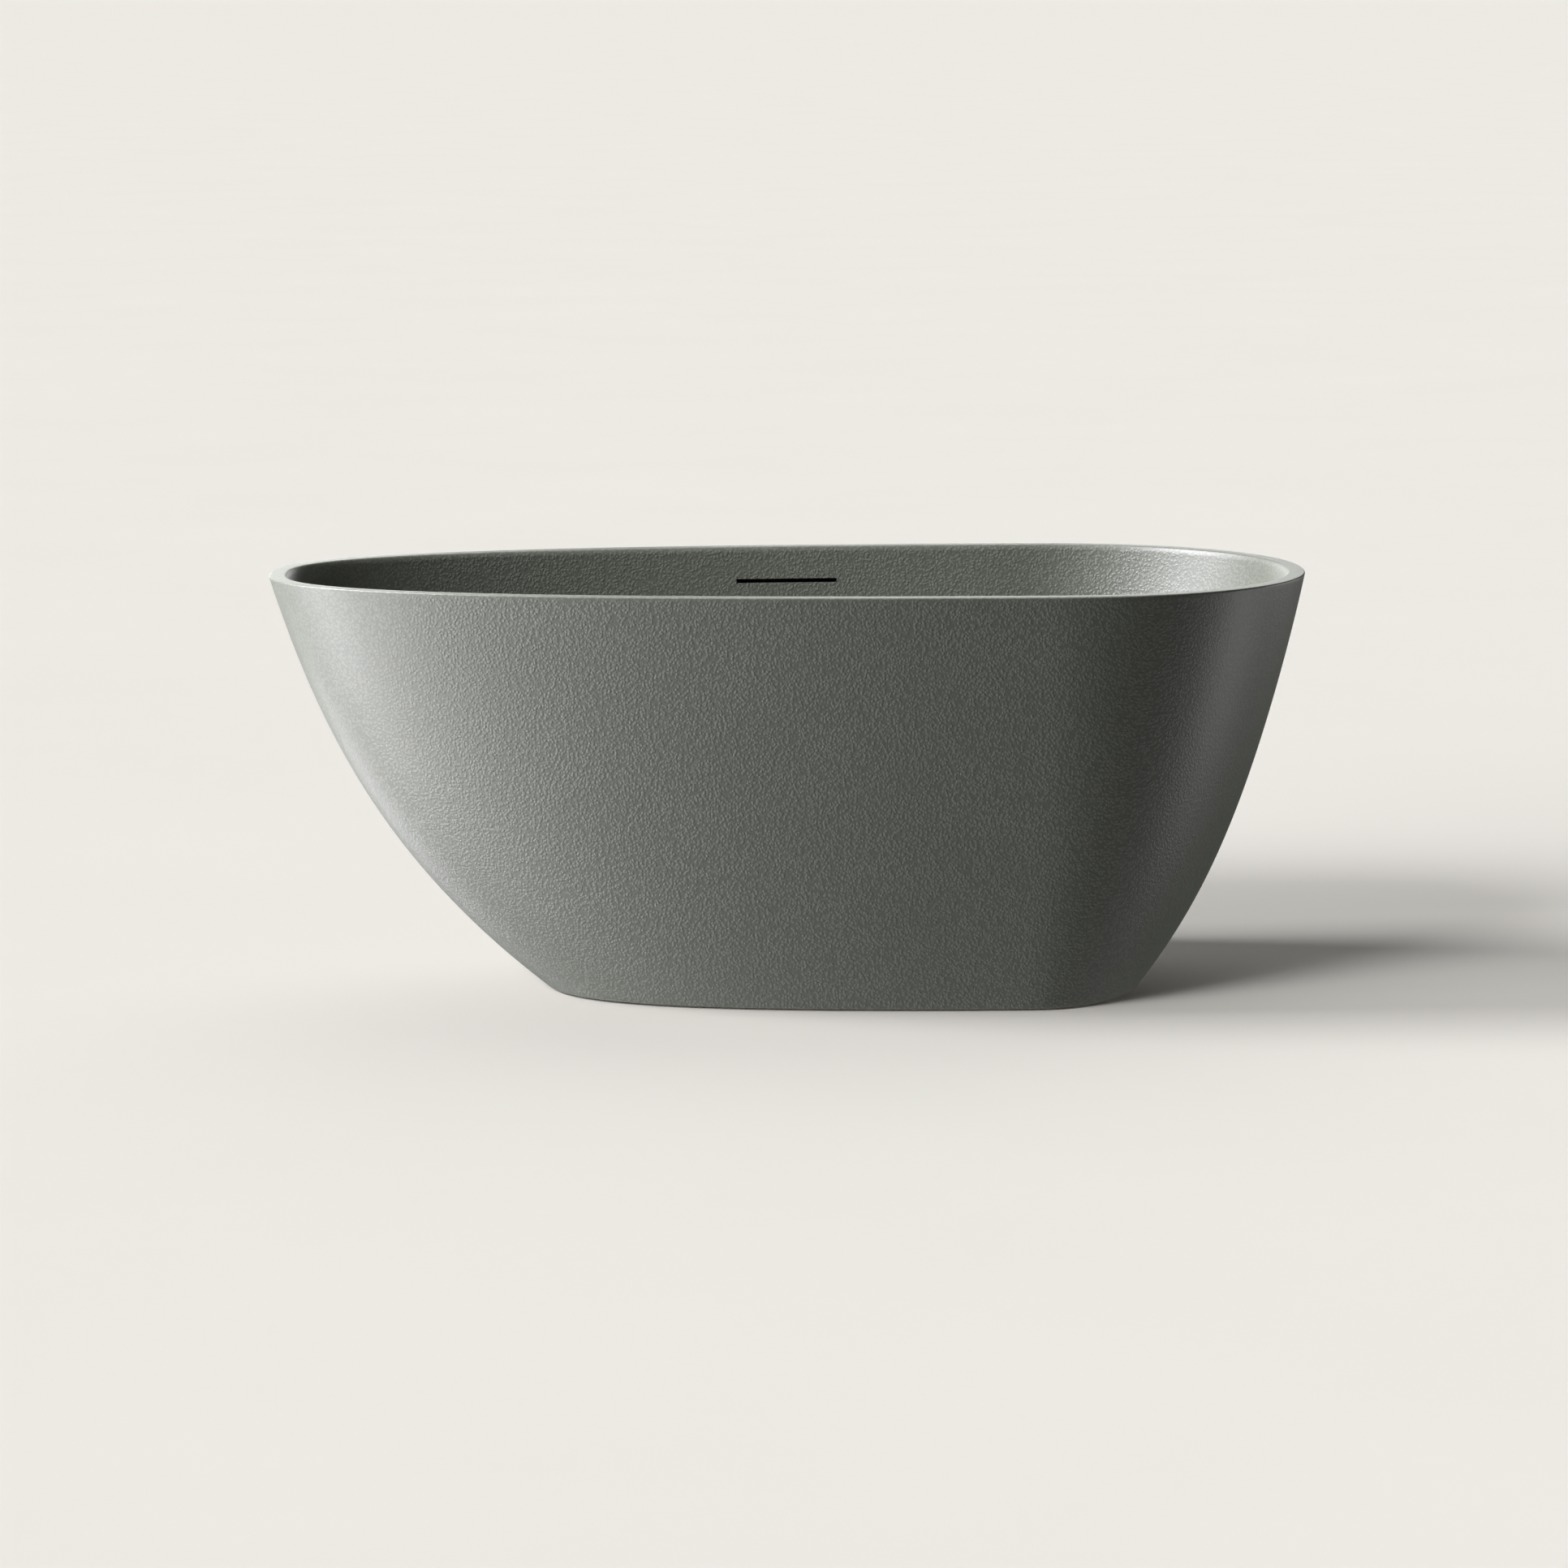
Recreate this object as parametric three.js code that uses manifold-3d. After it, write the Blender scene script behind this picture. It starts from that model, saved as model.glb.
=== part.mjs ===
// Freestanding double-skin bathtub: an outer shell and an inner basin bonded at the rim, on a steel
// frame with four levelling feet, with a slot overflow, a push-to-open plug and a low bowl trap.
// Millimetres. X runs along the bath with the sloped backrest at -X, +Y is the overflow side, +Z is
// up. The origin is on the floor under the middle of the bath.
import * as THREE from 'three';
import { LoftGeometry } from 'three/addons/geometries/LoftGeometry.js';
import { mergeVertices } from 'three/addons/utils/BufferGeometryUtils.js';
import Module from 'manifold-3d';

const wasm = await Module();
wasm.setup();

// ---- Driving dimensions ----

const length = 1500;
const width = 736;
const height = 598;
const shellGap = 3; // daylight between the shell's edge and the floor
const fit = 0.3; // gap kept between pieces that touch

// Plan of the outer shell at the rim and at the foot: where each end reaches, where the plan is
// widest, its half width, and how square each end's curve is (2 is an ellipse)
const rimPlan = {
  left: -length / 2, right: length / 2, widest: 344, half: width / 2, squareLeft: 2.6, squareRight: 2.16,
};
const footPlan = {
  left: -355, right: 515, widest: 320, half: 291, squareLeft: 2.96, squareRight: 2.11,
};

// How each end flares from foot (0) to rim (1): slope at the foot, slope at the rim, extra fullness
const flareLeft = { foot: 1.945, rim: 0.47, belly: -0.08 };
const flareRight = { foot: 2.05, rim: 0.51, belly: -0.51 };

// Skins
const shellSkin = 6;
const basinSkin = 8;
const footFlange = { reach: 20, thick: 8 }; // turned-in edge at the shell's foot
const rimWidth = 24;
const rimRound = 2.5;
const lipDepth = 9; // edge of the basin's rim that shows above the shell
const bead = { wide: 5, tall: 6 }; // adhesive under the rim
const floorHeight = 120; // basin floor at the drain
const floorFall = 6; // fall from the floor's edge to the drain
const floorRound = 58; // radius between wall and floor
const wallSpread = 56; // how much further the two skins part at floor level than at the rim

// Drain
const drainX = 7;
const recess = { radius: 37.5, depth: 4 };
const drainHole = 24;
const flange = { radius: 36.5, thick: 2.2, edge: 1, tailRadius: 22.5, tailBore: 20, tailLength: 30 };
const sealThick = 1.2;
const underSeal = { radius: 38, thick: 3 };
const hub = { radius: 9.5, top: -14, tall: 10, spoke: 3 };
const barrel = { radius: 7, collar: 9, collarThick: 1.6, length: 18, bore: 3.6 };
const stem = { radius: 3.3, head: 12, headThick: 1.5, fillet: 0.5, length: 36 };
const cap = { radius: 33, thick: 4, round: 1.5, bevel: 0.8, crown: 0.4 };
const plugSeal = { inner: 21, outer: 29, thick: 1.5 };

// Trap
// The bowl slopes in to its neck from slopeFoot outside and innerSlopeFoot inside
const bowl = {
  radius: 44, wall: 2.5, bottom: 8, chamfer: 6, innerChamfer: 4, slopeFoot: 72, innerSlopeFoot: 70,
  neckRadius: 27, neckStep: 1, flangeThick: 4,
};
const ledge = { radius: 20.2, thick: 3 };
const dipTube = { radius: 19.5, bore: 17.5, bottom: 22, collar: 22.6, collarThick: 2 };
const dipSeal = { inner: 20.4, thick: 1.7 };
const outlet = { height: 49, radius: 20, bore: 17.5, length: 32 };
const outletNut = { radius: 27, length: 24, lip: 4, chamfer: 3 };
const outletWasher = { thick: 3 };

// Overflow
const overflowX = 7;
const slot = { wide: 152, tall: 6, belowRim: 51 };
const chamber = { wide: 178, top: 14, foot: 54, wall: 2, land: 8 };
const gasketThick = 2.4;
const chamberClear = 2; // gap between chamber and shell
const spigot = { radius: 9, bore: 7, length: 20 };
// Bore over the spigot, wall, and the gaps to the two skins
const hose = { slack: 1.2, wall: 2.4, clear: 5, basinClear: 1 };
// The hose's bend above the port: where it starts, its middle, its foot, and the straight run in
const hoseBend = { top: 80, middleIn: 26, middleRise: 22, footIn: 75, runIn: 12 };
const hosePort = { height: 62, reach: 66 };
const clamp = { thick: 1, wide: 9, inset: 3 };

// Frame and feet
const board = { left: -275, right: 395, half: 158, corner: 60, thick: 12, opening: 60 };
const rail = { left: -255, right: 415, y: 122, wide: 30, tall: 20, wall: 2 };
const cross = { left: -215, right: 375, half: 148, wide: 30, tall: 20, wall: 2 };
const bush = { radius: 12, tall: 30 };
const stud = { radius: 6, top: 96, hexAcross: 19, hexTall: 8, hexFoot: 16 };
const studClear = 0.3;
const pad = { radius: 25, tall: 14, socket: 8, socketDepth: 4, socketWall: 4, sole: 3, edge: 2 };
const lockNut = { across: 19, tall: 8 };
const screw = {
  left: -150, right: 310, radius: 3, head: 6, headTall: 3, headEdge: 1, bite: 8, point: 3, clear: 0.4,
};
const chamfer = 1.5; // edges broken on the screws and feet

// Mesh fineness
const around = 48;
const roundSteps = 20;
const smallSteps = 16;
const arcSteps = 5;
const screwSteps = 12;
const capSteps = 28;
const slotSteps = 4;
const boardSteps = 6;
const curveSteps = 8;
const shellRows = 10;
const linerRows = 8;
const basinRows = 6;
const cornerRows = 3;
const hoseRows = 22;
const floorShares = [0.35, 0.7]; // rings on the floor, as shares of the way in to the drain's recess
const over = 1; // how far a cutting tool runs past the face it cuts

// ---- Heights that follow ----

const slotHeight = height - slot.belowRim;
const lipFoot = height - lipDepth;
const underFloor = floorHeight - basinSkin;
const boardTop = underFloor - fit;
const railTop = boardTop - board.thick - fit;
const crossTop = railTop - rail.tall - fit;
const bushY = cross.half + fit + bush.radius;
const hoseBore = spigot.radius + hose.slack;
const hoseRadius = hoseBore + hose.wall;
const clampRadius = hoseRadius + 2 * fit + clamp.thick;
const trapTop = underFloor - 2 * fit - underSeal.thick;

// ---- Finishes ----

const finish = (color, roughness, metalness) => {
  const settings = { color, roughness, metalness };
  return () => new THREE.MeshStandardMaterial(settings);
};
const stoneGrey = finish('#6f736e', 0.7, 0);
const whitePlastic = finish('#d9dad6', 0.5, 0);
const darkRubber = finish('#242424', 0.85, 0);
const galvanised = finish('#9aa0a4', 0.4, 1);
const plywood = finish('#b08a5c', 0.8, 0);
const adhesive = finish('#c9c6bd', 0.6, 0);
const brushedSteel = finish('#b8babc', 0.35, 1);

const bath = new THREE.Group();

function place(name, geometry, dress, parent = bath) {
  const mesh = new THREE.Mesh(geometry, dress());
  mesh.name = name;
  parent.add(mesh);
  return mesh;
}

// ---- Solids ----

function toSolid(geometry) {
  const bare = new THREE.BufferGeometry();
  bare.setAttribute('position', geometry.attributes.position);
  bare.setIndex(geometry.index);
  const merged = mergeVertices(bare);
  const vertProperties = Float32Array.from(merged.attributes.position.array);
  const triVerts = Uint32Array.from(merged.index.array);
  return new wasm.Manifold(new wasm.Mesh({ numProp: 3, vertProperties, triVerts }));
}

function toGeometry(solid) {
  const { vertProperties, triVerts } = solid.getMesh();
  const geometry = new THREE.BufferGeometry();
  geometry.setAttribute('position', new THREE.BufferAttribute(vertProperties, 3));
  geometry.setIndex(new THREE.BufferAttribute(triVerts, 1));
  geometry.computeVertexNormals();
  return geometry;
}

const join = (...parts) => toGeometry(parts.map(toSolid).reduce((a, b) => a.add(b)));
const cut = (body, ...tools) =>
  toGeometry(tools.map(toSolid).reduce((a, b) => a.subtract(b), toSolid(body)));
const common = (...parts) => toGeometry(parts.map(toSolid).reduce((a, b) => a.intersect(b)));

// A turned piece about +Z: points are [radius, height], walked up the outside and down the inside
function turned(points, segments = roundSteps) {
  const profile = points.map(([radius, z]) => new THREE.Vector2(radius, z));
  return new THREE.LatheGeometry(profile, segments).rotateX(Math.PI / 2);
}

// A ring of rectangular section about +Z
const ring = (inner, outer, bottom, top, segments) =>
  turned([[inner, bottom], [outer, bottom], [outer, top], [inner, top], [inner, bottom]], segments);

function rod(radius, bottom, top, segments = roundSteps) {
  const cylinder = new THREE.CylinderGeometry(radius, radius, top - bottom, segments);
  return cylinder.rotateX(Math.PI / 2).translate(0, 0, (bottom + top) / 2);
}

const hexBar = (across, bottom, top) => rod(across / Math.sqrt(3), bottom, top, 6);

// A flat outline pushed up from z = bottom to z = top
function raised(shape, bottom, top, curveSegments = curveSteps) {
  const settings = { depth: top - bottom, bevelEnabled: false, curveSegments };
  return new THREE.ExtrudeGeometry(shape, settings).translate(0, 0, bottom);
}

// An outline drawn in X and Z, pushed along +Y from y = front to y = back
function pushedBack(shape, front, back, curveSegments = curveSteps) {
  return raised(shape, -back, -front, curveSegments).rotateX(Math.PI / 2);
}

// ---- The bath's surface ----

function flare(t, end) {
  const fromFoot = (t ** 3 - 2 * t ** 2 + t) * end.foot;
  const toRim = (t ** 3 - t ** 2) * end.rim;
  return fromFoot + 3 * t ** 2 - 2 * t ** 3 + toRim + end.belly * (t * (1 - t)) ** 2;
}

// The outer shell's plan at height z
function planAt(z) {
  const t = (z - shellGap) / (height - shellGap);
  const left = flare(t, flareLeft);
  const right = flare(t, flareRight);
  const mix = (key, amount) => THREE.MathUtils.lerp(footPlan[key], rimPlan[key], amount);
  const middle = (left + right) / 2;
  return {
    left: mix('left', left),
    right: mix('right', right),
    widest: mix('widest', middle),
    half: mix('half', middle),
    squareLeft: mix('squareLeft', middle),
    squareRight: mix('squareRight', middle),
  };
}

// The plan at height z moved in by a depth that is measured square to the shell's wall
function planInside(z, depth) {
  const plan = planAt(z);
  const below = planAt(z - 1);
  const above = planAt(z + 1);
  const square = (key) => depth * Math.hypot(1, (above[key] - below[key]) / 2);
  plan.left += square('left');
  plan.right -= square('right');
  plan.half -= square('half');
  return plan;
}

// A point of the plan's outline: a superellipse whose squareness changes smoothly from end to end
function outlinePoint(plan, angle, z) {
  const c = Math.cos(angle);
  const s = Math.sin(angle);
  const share = THREE.MathUtils.smoothstep(c, -1, 1);
  const squareness = THREE.MathUtils.lerp(plan.squareLeft, plan.squareRight, share);
  const reach = c < 0 ? plan.widest - plan.left : plan.right - plan.widest;
  const x = plan.widest + reach * Math.sign(c) * Math.abs(c) ** (2 / squareness);
  const y = plan.half * Math.sign(s) * Math.abs(s) ** (2 / squareness);
  return new THREE.Vector3(x, y, z);
}

// How far the middle of a rounded edge stands inside its corner, as a share of the radius
const roundInset = 1 - Math.SQRT1_2;

const ringOf = (pointAt) => Array.from({ length: around }, (_, i) => pointAt((i / around) * 2 * Math.PI));

function wallRing(z, depth) {
  const plan = planInside(z, depth);
  return ringOf((angle) => outlinePoint(plan, angle, z));
}

const circleRing = (radius, z) =>
  ringOf((angle) => new THREE.Vector3(drainX + radius * Math.cos(angle), radius * Math.sin(angle), z));

// How far +Y the wall stands at a given x, found by halving the angle
function wallY(x, z, depth) {
  const plan = planInside(z, depth);
  let low = 0;
  let high = Math.PI;
  for (let i = 0; i < 40; i++) {
    const angle = (low + high) / 2;
    if (outlinePoint(plan, angle, z).x > x) low = angle;
    else high = angle;
  }
  return outlinePoint(plan, low, z).y;
}

// Depth of the basin's wall below the shell's surface, for its inside (skin 0) or its back
function basinDepth(z, skin) {
  const bottom = skin > 0 ? underFloor : floorHeight + floorFall;
  const round = floorRound + skin;
  const rise = Math.min(0, z - bottom - round);
  const sweep = round - Math.sqrt(Math.max(0, round ** 2 - rise ** 2));
  const down = (height - z) / (height - floorHeight);
  return rimWidth - skin + wallSpread * down + sweep;
}

const evenly = (from, to, rows) =>
  Array.from({ length: rows + 1 }, (_, i) => THREE.MathUtils.lerp(from, to, i / rows));

// Heights from low to high: evenly up the wall, and by equal turns round the floor's corner
function basinHeights(skin) {
  const bottom = skin > 0 ? underFloor : floorHeight + floorFall;
  const round = floorRound + skin;
  const top = skin > 0 ? lipFoot : height - rimRound;
  const heights = [];
  for (let i = 0; i < cornerRows; i++) {
    heights.push(bottom + round * (1 - Math.cos(((i / cornerRows) * Math.PI) / 2)));
  }
  heights.push(...evenly(bottom + round, top, basinRows));
  return heights;
}

const loft = (rings, caps = false) => new LoftGeometry(rings, { capStart: caps, capEnd: caps });

function outerShell() {
  const top = lipFoot - fit;
  const flangeTop = shellGap + footFlange.thick;
  const rings = evenly(shellGap, top, shellRows).map((z) => wallRing(z, 0));
  rings.push(...evenly(top, flangeTop, linerRows).map((z) => wallRing(z, shellSkin)));
  rings.push(wallRing(flangeTop, footFlange.reach), wallRing(shellGap, footFlange.reach), rings[0]);
  return loft(rings);
}

function innerBasin() {
  const bevel = rimRound * roundInset;
  const rings = [wallRing(lipFoot, 0), wallRing(height - rimRound, 0)];
  rings.push(wallRing(height - bevel, bevel), wallRing(height, rimRound));
  rings.push(wallRing(height, rimWidth - rimRound), wallRing(height - bevel, rimWidth - bevel));
  rings.push(...basinHeights(0).reverse().map((z) => wallRing(z, basinDepth(z, 0))));
  const edge = rings[rings.length - 1];
  const rim = circleRing(recess.radius, floorHeight);
  for (const share of floorShares) {
    const lift = floorFall * (1 - share) ** 2;
    rings.push(edge.map((point, i) => point.clone().lerp(rim[i], share).setZ(floorHeight + lift)));
  }
  const recessFloor = floorHeight - recess.depth;
  rings.push(rim, circleRing(recess.radius, recessFloor));
  rings.push(circleRing(drainHole, recessFloor), circleRing(drainHole, underFloor));
  rings.push(...basinHeights(basinSkin).map((z) => wallRing(z, basinDepth(z, basinSkin))), rings[0]);
  return cut(loft(rings), overflowSlot());
}

function stadium(wide, tall, x, z) {
  const r = tall / 2;
  const shape = new THREE.Shape();
  shape.absarc(x + wide / 2 - r, z, r, -Math.PI / 2, Math.PI / 2);
  shape.absarc(x - wide / 2 + r, z, r, Math.PI / 2, (3 * Math.PI) / 2);
  return shape;
}

function overflowSlot() {
  const shape = stadium(slot.wide, slot.tall, overflowX, slotHeight);
  return pushedBack(shape, width / 4, width / 2, slotSteps);
}

function rimBead() {
  const top = lipFoot - fit;
  const near = shellSkin + fit;
  const far = near + bead.wide;
  const low = top - bead.tall;
  const section = [[low, near], [top, near], [top, far], [low, far], [low, near]];
  return loft(section.map(([z, depth]) => wallRing(z, depth)));
}

place('outer_shell', outerShell(), stoneGrey);
place('inner_basin', innerBasin(), stoneGrey);
place('rim_bond_bead', rimBead(), adhesive);

// ---- Overflow: chamber, gasket, hose and clamps ----

// Everything inside a skin between two heights, as a closed core
const shellCore = (bottom, top, clear) =>
  loft(evenly(bottom, top, basinRows).map((z) => wallRing(z, shellSkin + clear)), true);
const basinCore = (bottom, top, grow) =>
  loft(evenly(bottom, top, basinRows).map((z) => wallRing(z, basinDepth(z, basinSkin) - grow)), true);

const chamberTop = slotHeight + chamber.top;
// The chamber ends where the skins have parted enough for the hose and its clamp
const hoseRoom = hoseRadius + hose.clear + clampRadius + hose.basinClear;
const hosePart = (hoseRoom - (rimWidth - basinSkin - shellSkin)) / wallSpread;
const chamberFoot = height - hosePart * (height - floorHeight);

// Funnel outline that narrows from the slot down to the spigot
function funnel(inset) {
  const top = chamber.wide / 2 - inset;
  const foot = chamber.foot / 2 - inset;
  const neck = slotHeight - chamber.top;
  const shape = new THREE.Shape();
  shape.moveTo(overflowX - foot, chamberFoot + inset);
  shape.lineTo(overflowX + foot, chamberFoot + inset);
  shape.lineTo(overflowX + top, neck);
  shape.lineTo(overflowX + top, chamberTop - inset);
  shape.lineTo(overflowX - top, chamberTop - inset);
  shape.lineTo(overflowX - top, neck);
  return shape;
}

// The cores that the chamber is shaped against run past it at both ends
const coreSpare = { below: 5, above: 10 };
const coreFoot = chamberFoot - spigot.length - coreSpare.below;
const coreTop = Math.min(chamberTop + coreSpare.above, lipFoot);
const funnelBlock = (inset) => pushedBack(funnel(inset), width / 4, width / 2);
const hoseY = (z) => wallY(overflowX, z, shellSkin) - hose.clear - hoseRadius;
const spigotY = hoseY(chamberFoot);

function overflowChamber() {
  const body = common(funnelBlock(0), shellCore(coreFoot, coreTop, chamberClear));
  const inside = shellCore(coreFoot, coreTop, chamberClear + chamber.wall);
  const hollow = common(funnelBlock(chamber.land), inside);
  const shift = (geometry) => geometry.translate(overflowX, spigotY, chamberFoot);
  const tube = shift(rod(spigot.radius, -spigot.length, chamber.land / 2, smallSteps));
  const bore = shift(rod(spigot.bore, -spigot.length - over, chamber.land + 2 * over, smallSteps));
  return cut(join(body, tube), basinCore(coreFoot, coreTop, 2 * fit + gasketThick), hollow, bore);
}

function overflowGasket() {
  const frame = cut(funnelBlock(fit), funnelBlock(chamber.land - fit));
  const layer = common(frame, basinCore(coreFoot, coreTop, fit + gasketThick));
  return cut(layer, basinCore(coreFoot, coreTop, fit));
}

// The hose drops beside the shell, turns under the frame and meets the trap's side port
function hosePath() {
  const start = new THREE.Vector3(overflowX, spigotY, chamberFoot - fit);
  const end = new THREE.Vector3(drainX, hosePort.reach - spigot.length + 2 * fit, hosePort.height);
  const turnHeight = hosePort.height + hoseBend.top;
  const turnY = hoseY(turnHeight);
  const straight = start.clone().setZ(start.z - spigot.length - clamp.wide);
  const points = [start, straight];
  for (const z of evenly(straight.z, turnHeight, 4).slice(1)) {
    points.push(new THREE.Vector3(overflowX, hoseY(z), z));
  }
  const inward = (y, rise) => new THREE.Vector3(drainX, y, hosePort.height + rise);
  points.push(inward(turnY - hoseBend.middleIn, hoseBend.middleRise), inward(turnY - hoseBend.footIn, 0));
  points.push(inward(hosePort.reach + clamp.wide + hoseBend.runIn, 0), end);
  return new THREE.CatmullRomCurve3(points, false, 'centripetal');
}

function overflowHose() {
  const section = new THREE.Shape().absarc(0, 0, hoseRadius, 0, 2 * Math.PI);
  section.holes.push(new THREE.Path().absarc(0, 0, hoseBore, 0, 2 * Math.PI, true));
  const settings = { steps: hoseRows, extrudePath: hosePath(), curveSegments: arcSteps };
  return new THREE.ExtrudeGeometry(section, settings);
}

function hoseClamp() {
  return ring(hoseRadius + 2 * fit, clampRadius, -clamp.wide, 0, smallSteps);
}

place('overflow_chamber', overflowChamber(), whitePlastic);
place('overflow_gasket', overflowGasket(), darkRubber);
place('overflow_hose', overflowHose(), whitePlastic);
const topClamp = place('hose_clamp_top', hoseClamp(), brushedSteel);
topClamp.position.set(overflowX, spigotY, chamberFoot - clamp.inset);
const lowClamp = place('hose_clamp_bottom', hoseClamp(), brushedSteel);
lowClamp.rotation.x = Math.PI / 2;
lowClamp.position.set(drainX, hosePort.reach - clamp.wide - clamp.inset, hosePort.height);

// ---- Drain: flange, seals and plug, in a group whose zero is the basin floor at the drain ----

const drain = new THREE.Group();
drain.position.set(drainX, 0, floorHeight);
bath.add(drain);

function wasteFlange() {
  const seat = flange.thick;
  const body = turned([
    [flange.tailBore, -flange.tailLength], [flange.tailRadius, -flange.tailLength],
    [flange.tailRadius, -seat], [flange.radius, -seat], [flange.radius, -seat / 2],
    [flange.radius - flange.edge, 0], [plugSeal.outer + flange.edge, 0], [flange.tailBore, -seat],
    [flange.tailBore, -flange.tailLength],
  ]);
  const hubFoot = hub.top - hub.tall;
  const centre = rod(hub.radius, hubFoot, hub.top);
  const spokes = [0, 1, 2].map((i) => {
    const reach = flange.tailBore + over;
    const spoke = new THREE.BoxGeometry(reach, hub.spoke, hub.tall);
    return spoke.translate(reach / 2, 0, hub.top - hub.tall / 2).rotateZ((i * 2 * Math.PI) / 3);
  });
  return cut(join(body, centre, ...spokes), rod(barrel.radius + fit, hubFoot - over, hub.top + over));
}

function plugBarrel() {
  const top = hub.top + fit + barrel.collarThick;
  return turned([
    [barrel.bore, top - barrel.length], [barrel.radius, top - barrel.length], [barrel.radius, hub.top + fit],
    [barrel.collar, hub.top + fit], [barrel.collar, top], [barrel.bore, top],
    [barrel.bore, top - barrel.length],
  ]);
}

function plugStem() {
  const top = fit + plugSeal.thick;
  const headFoot = top - stem.headThick;
  return turned([
    [0, top - stem.length], [stem.radius, top - stem.length], [stem.radius, headFoot - stem.fillet],
    [stem.head, headFoot], [stem.head, top], [0, top],
  ]);
}

function plugCap() {
  const bottom = 2 * fit + plugSeal.thick;
  const top = bottom + cap.thick;
  const inset = cap.round * roundInset;
  return turned([
    [0, bottom], [cap.radius - cap.bevel, bottom], [cap.radius, bottom + cap.bevel],
    [cap.radius, top - cap.round], [cap.radius - inset, top - inset],
    [cap.radius - cap.round, top], [0, top + cap.crown],
  ], capSteps);
}

place('waste_flange', wasteFlange(), brushedSteel, drain);
const sealBore = drainHole + 1;
const sealFoot = fit - recess.depth;
const flangeSeal = ring(sealBore, flange.radius, sealFoot, sealFoot + sealThick);
place('flange_seal', flangeSeal, darkRubber, drain);
const underTop = -basinSkin - fit;
const underRing = ring(sealBore, underSeal.radius, underTop - underSeal.thick, underTop);
place('under_basin_seal', underRing, darkRubber, drain);
place('plug_barrel', plugBarrel(), whitePlastic, drain);
place('plug_stem', plugStem(), brushedSteel, drain);
const plugRing = ring(plugSeal.inner, plugSeal.outer, fit, fit + plugSeal.thick);
place('plug_seal', plugRing, darkRubber, drain);
place('plug_cap', plugCap(), stoneGrey, drain);

// ---- Trap: bowl, dip tube and outlet, in a group on the floor under the drain ----

const trap = new THREE.Group();
trap.position.x = drainX;
bath.add(trap);

const tailFoot = floorHeight - flange.tailLength;
const collarTop = tailFoot - fit;
const sealTop = collarTop - dipTube.collarThick - fit;
const ledgeTop = sealTop - dipSeal.thick - fit;
const outletEnd = bowl.radius + outlet.length;

function trapBowl() {
  const inner = bowl.radius - bowl.wall;
  const neckBore = dipTube.collar + 2 * fit;
  const body = turned([
    [0, bowl.bottom], [bowl.radius - bowl.chamfer, bowl.bottom], [bowl.radius, bowl.bottom + bowl.chamfer],
    [bowl.radius, bowl.slopeFoot], [bowl.neckRadius, ledgeTop + bowl.neckStep],
    [bowl.neckRadius, trapTop - bowl.flangeThick],
    [underSeal.radius, trapTop - bowl.flangeThick], [underSeal.radius, trapTop], [neckBore, trapTop],
    [neckBore, ledgeTop], [ledge.radius, ledgeTop], [ledge.radius, ledgeTop - ledge.thick],
    [inner, bowl.innerSlopeFoot], [inner, bowl.bottom + bowl.chamfer],
    [inner - bowl.innerChamfer, bowl.bottom + bowl.wall],
    [0, bowl.bottom + bowl.wall],
  ]);
  const sideRod = (radius, reach, height) =>
    rod(radius, bowl.radius / 2, reach, smallSteps).rotateY(Math.PI / 2).translate(0, 0, height);
  const toHose = (geometry) => geometry.rotateZ(Math.PI / 2);
  const outletTube = sideRod(outlet.radius, outletEnd, outlet.height);
  const hoseTube = toHose(sideRod(spigot.radius, hosePort.reach, hosePort.height));
  return cut(
    join(body, outletTube, hoseTube),
    rod(inner, bowl.bottom + bowl.chamfer, bowl.innerSlopeFoot),
    sideRod(outlet.bore, outletEnd + over, outlet.height),
    toHose(sideRod(spigot.bore, hosePort.reach + over, hosePort.height)),
  );
}

function dipTubePiece() {
  const foot = collarTop - dipTube.collarThick;
  return turned([
    [dipTube.bore, dipTube.bottom], [dipTube.radius, dipTube.bottom], [dipTube.radius, foot],
    [dipTube.collar, foot], [dipTube.collar, collarTop], [dipTube.bore, collarTop],
    [dipTube.bore, dipTube.bottom],
  ]);
}

// Compression nut round the outlet: bore over the spigot, lip over the washer
function outletNutPiece() {
  const bore = outlet.radius + 2 * fit;
  return turned([
    [bore, 0], [outletNut.radius, 0], [outletNut.radius, outletNut.length - outletNut.chamfer],
    [outletNut.radius - outletNut.chamfer, outletNut.length], [outlet.bore, outletNut.length],
    [outlet.bore, outletNut.length - outletNut.lip], [bore, outletNut.length - outletNut.lip], [bore, 0],
  ]);
}

place('trap_bowl', trapBowl(), whitePlastic, trap);
place('dip_tube', dipTubePiece(), whitePlastic, trap);
const dipRing = ring(dipSeal.inner, dipTube.collar, ledgeTop + fit, sealTop);
place('dip_tube_seal', dipRing, darkRubber, trap);
const outletRing = ring(outlet.bore, outlet.radius, 0, outletWasher.thick);
const washer = place('outlet_washer', outletRing, darkRubber, trap);
washer.rotation.y = Math.PI / 2;
washer.position.set(outletEnd + fit, 0, outlet.height);
const nut = place('outlet_nut', outletNutPiece(), whitePlastic, trap);
nut.rotation.y = Math.PI / 2;
const nutMouth = outletEnd + 2 * fit + outletWasher.thick + outletNut.lip;
nut.position.set(nutMouth - outletNut.length, 0, outlet.height);

// ---- Frame: board, rails, cross members and screws ----

function roundedPlate(left, right, half, corner) {
  const shape = new THREE.Shape();
  shape.absarc(right - corner, corner - half, corner, -Math.PI / 2, 0);
  shape.absarc(right - corner, half - corner, corner, 0, Math.PI / 2);
  shape.absarc(left + corner, half - corner, corner, Math.PI / 2, Math.PI);
  shape.absarc(left + corner, corner - half, corner, Math.PI, (3 * Math.PI) / 2);
  return shape;
}

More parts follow.
